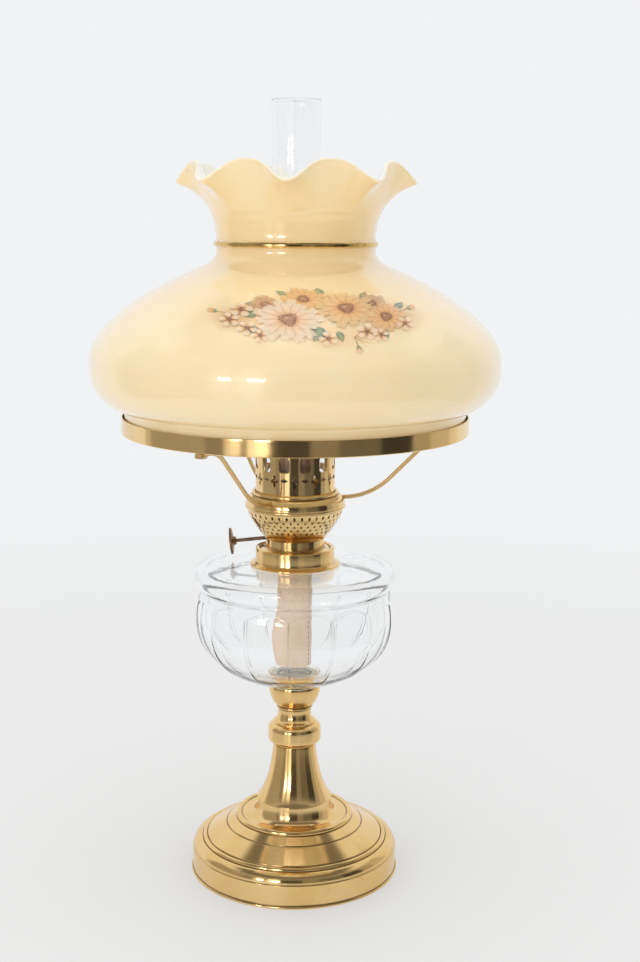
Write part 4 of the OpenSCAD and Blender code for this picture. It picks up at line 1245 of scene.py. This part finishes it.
def flower_print():
    """A spray of open flowers, small blossoms, buds and leaves on the front of the shade's shoulder."""
    spray = FlowerPrint(front + 7, 85)
    washes = [((-34, 0), 28, 0.7, gold), ((0, 12), 34, 0.6, gold), ((34, 4), 32, 0.62, burnt),
              ((58, -2), 22, 0.7, ochre), ((-54, -2), 16, 0.8, burnt), ((12, -16), 26, 0.5, peach)]
    for middle, size, squeeze, paint in washes:
        spray.disc(middle, size, paint, 0.36, 1.0, squeeze)
    strokes = random.Random(11)
    roots = [(1, (52, 8)), (-1, (-50, 0)), (1, (34, 18)), (-1, (-26, 18)), (1, (22, -18)), (-1, (-32, -14))]
    for side, root in roots:
        for k in range(8):
            turn = (0 if side > 0 else 180) + strokes.uniform(-46, 46)
            paint = burnt if k % 3 else ochre
            spray.tendril(root, turn, strokes.uniform(9, 22), strokes.uniform(-70, 70), paint, 0.45)
    leaves = [((-34, 10), 150, 10, 5.5, sea_green), ((-36, -10), 214, 9, 5, sea_green),
              ((2, -9), 258, 13, 10, sea_green), ((4, 22), 80, 10, 7, leaf_green),
              ((-36, 2), 176, 9, 7, leaf_green), ((-16, 22), 128, 9, 5, leaf_green),
              ((31, 19), 46, 9, 5, leaf_green), ((54, 8), 18, 10, 6, sea_green),
              ((41, -12), 306, 9, 5.5, sea_green), ((12, -13), 300, 9, 5, leaf_green)]
    for root, turn, length, width, green in leaves:
        spray.leaf(root, turn, length, width, green, 24 if turn < 180 else -24)
    buds = [((-62, 4), 166, 7, (rust, gold, peach)), ((64, 6), 18, 7.5, (rust, gold, peach)),
            ((24, -24), 282, 6, (rust, peach, cream))]
    for root, turn, size, shades in buds:
        spray.bud(root, turn, size, shades)
    flowers = [((38, 13), 12, 40, 10, (rust, burnt, ochre)), ((-30, 12), 11, 15, 10, (rust, burnt, ochre)),
               ((-6, 18), 15, 20, 12, (rust, gold, (0.95, 0.60, 0.26))),
               ((46, -1), 16, 8, 12, (rust, gold, peach)),
               ((20, 8), 20, 33, 13, (rust, gold, (0.95, 0.66, 0.32))),
               ((-17, -3), 22, 55, 14, (burnt, peach, (0.98, 0.82, 0.60)))]
    for middle, size, turn, count, shades in flowers:
        spray.flower(middle, size, turn, count, shades)
    blossoms = [((-46, 6), 8, 10), ((-54, -4), 7, 30), ((-43, -11), 6.5, 52), ((59, -8), 6.5, 50),
                ((31, -14), 7, 5), ((6, -19), 6, 40), ((40, -17), 5.5, 20), ((-35, -17), 5.5, 33)]
    for middle, size, turn in blossoms:
        spray.blossom(middle, size, turn)
    piece(spray.mesh("flower_print"), "shade_body", print_finish, "opal_glass")


# Studio

backdrop = tint(0.88, 0.893, 0.905)


def seen(f):
    """One for the rays that show the background: from the camera, off polished surfaces and through glass."""
    camera, glossy, through = [f.node("ShaderNodeLightPath", output="Is " + kind + " Ray")
                               for kind in ("Camera", "Glossy", "Transmission")]
    return camera.math("MAXIMUM", glossy).math("MAXIMUM", through)


def floor():
    """A pale paper floor that melts into the background far from the lamp."""
    half = 4.0
    corners = [(-half, -half, 0), (half, -half, 0), (half, half, 0), (-half, half, 0)]
    obj = placed("floor", new_mesh("floor", corners, [(0, 1, 2, 3)]))
    f = new_finish("floor_paper")
    spot, x, y = f.place()[:3]
    distance = (x * x + y * y) ** 0.5
    far = distance.between(0.4, 1.5)
    polished = f.node("ShaderNodeLightPath", output="Is Glossy Ray")
    away = far + polished * (distance.between(0.24, 0.42) - far)
    tone = f.blend(f.cloud(spot, 6.0), tint(0.85, 0.85, 0.845), tint(0.88, 0.88, 0.88))
    paper = f.surface({"Base Color": tone, "Roughness": 0.6})
    glow = f.node("ShaderNodeEmission", None, [tint(0.79, 0.785, 0.775), 1.0])
    lit = f.node("ShaderNodeMixShader", None, [0.5 * seen(f), paper, glow])
    melted = f.node("ShaderNodeMixShader", None, [away, lit, f.node("ShaderNodeBsdfTransparent")])
    obj.data.materials.append(f.end(melted))


# The room behind the camera, as (bearing from the front, tone): each tone holds to the next bearing
room_tones = [(-110, 0.62), (-104, 0.40), (-57, 0.28), (-44, 0.85), (-34, 0.34), (-29, 1.2), (-16, 0.07),
              (10, 0.26), (28, 0.16), (56, 0.05), (80, 0.42), (96, 0.62), (118, 0.85)]
room_radius, room_low, room_top = 2.6, -1.2, 2.4
ceiling_tone = tint(0.20, 0.19, 0.18)


def room_side(name, points, faces, paint):
    """A side of the dim room, which only polished surfaces see, and not through glass."""
    obj = placed(name, new_mesh(name, points, faces))
    f = new_finish(name)
    through_glass = f.node("ShaderNodeLightPath", output="Transmission Depth").between(0.2, 0.8)
    colour = f.blend(through_glass, paint(f), backdrop)
    obj.data.materials.append(f.end(f.node("ShaderNodeEmission", None, [colour, 1.0])))
    for rays in ("camera", "diffuse", "transmission", "volume_scatter", "shadow"):
        setattr(obj, "visible_" + rays, False)


def dim_room():
    first, last = room_tones[0][0], 130
    steps = 120
    points = []
    for i in range(steps + 1):
        a = math.radians(front + first + (last - first) * i / steps)
        spot = (room_radius * math.cos(a), room_radius * math.sin(a))
        points += [(*spot, z) for z in (room_low, room_top)]
    faces = [(2 * i, 2 * i + 1, 2 * i + 3, 2 * i + 2) for i in range(steps)]

    def wall(f):
        x, y, z = f.place()[1:]
        turn = y.math("ARCTAN2", x) / math.radians(360)
        bearing = (turn - (front + first) / 360).math("FRACT") * (360 / (last - first))
        stops = []
        ends = [place for place, tone in room_tones[1:]] + [last]
        for (place, tone), end in zip(room_tones, ends):
            shade = tint(tone, 0.96 * tone, 0.9 * tone)
            stops += [((edge - first) / (last - first), shade) for edge in (place + 1.2, end - 1.2)]
        tones = f.node("ShaderNodeValToRGB", {"stops": stops}, [bearing])
        return f.blend(z.between(1.2, 2.4), tones, tint(0.45, 0.44, 0.43))

    room_side("room_wall", points, faces, wall)
    reach_back = 2.1
    radius = (room_radius + reach_back) / 2
    edge = [(p[0], p[1] - radius + reach_back, room_top) for p in arc((0, 0), radius, 0, 345, 23)]

    def ceiling(f):
        x, y = f.place()[1:3]
        distance = (x * x + y * y) ** 0.5
        behind = y.between(-0.4, 0.2)
        dim = distance.between(0.5, 0.85) * (1 - behind * distance.between(1.4, 1.8))
        return f.blend(dim, backdrop, ceiling_tone)

    room_side("room_ceiling", edge, [tuple(range(24))], ceiling)


def panel_light(name, turn, distance, height, size, radiance):
    """A soft panel that faces the lamp; its brightness is given as the radiance that a mirror would show."""
    light = bpy.data.lights.new(name, "AREA")
    light.shape = "RECTANGLE"
    light.size, light.size_y = size
    light.energy = radiance * math.pi * size[0] * size[1]
    obj = placed(name, light)
    a = math.radians(turn)
    obj.location = (distance * math.cos(a), distance * math.sin(a), height)
    aim = Vector((0, 0, 0.35)) - obj.location
    obj.rotation_euler = aim.to_track_quat("-Z", "Y").to_euler()
    return obj


def studio():
    floor()
    dim_room()
    for name, bearing, width in (("left_panel", -35.5, 0.22), ("front_panel", -19, 0.30)):
        panel_light(name, front + bearing, 1.8, 0.42, (width, 0.24), 12.5)
    top = panel_light("top_panel", front, 0.15, 2.6, (2.2, 2.2), 1.04)
    top.visible_glossy = False
    f = Finish(bpy.data.worlds.new("studio"))
    ambient = 0.94
    back = f.node("ShaderNodeBackground", None, [backdrop, ambient + (1 - ambient) * seen(f)])
    bpy.context.scene.world = f.end(back, "ShaderNodeOutputWorld")


def camera():
    """The photograph's view: a long lens, a little above the shade's foot and looking slightly down."""
    focal_pixels, long_side = 1450, 962
    lens = bpy.data.cameras.new("camera")
    lens.sensor_width = 36
    lens.lens = focal_pixels * lens.sensor_width / long_side
    eye = placed("camera", lens)
    eye.location = (0.0162, -1.0, 0.4686)
    tilt, roll = math.radians(79.63), math.radians(-0.35)
    eye.rotation_euler = (tilt, roll, 0)
    bpy.context.scene.camera = eye


camera()
foot()
felt_pad()
stem()
font()
collar()
burner_base()
basket()
gallery()
wick_tube()
winder()
wick()
chimney()
holder()
shade()
flower_print()
plain_nodes = {"tie_rod": bright_steel, "rod_washer": bright_steel, "rod_nut": bright_steel,
               "cup_plaster": white_plaster, "collar_plaster": white_plaster, "draft_tube": old_brass,
               "spur_wheels": old_brass, "foot_weight": iron, "burner_floor": sheet_brass}
for node, finish in plain_nodes.items():
    dress(node, finish)
studio()
bpy.context.scene.view_settings.view_transform = "Standard"
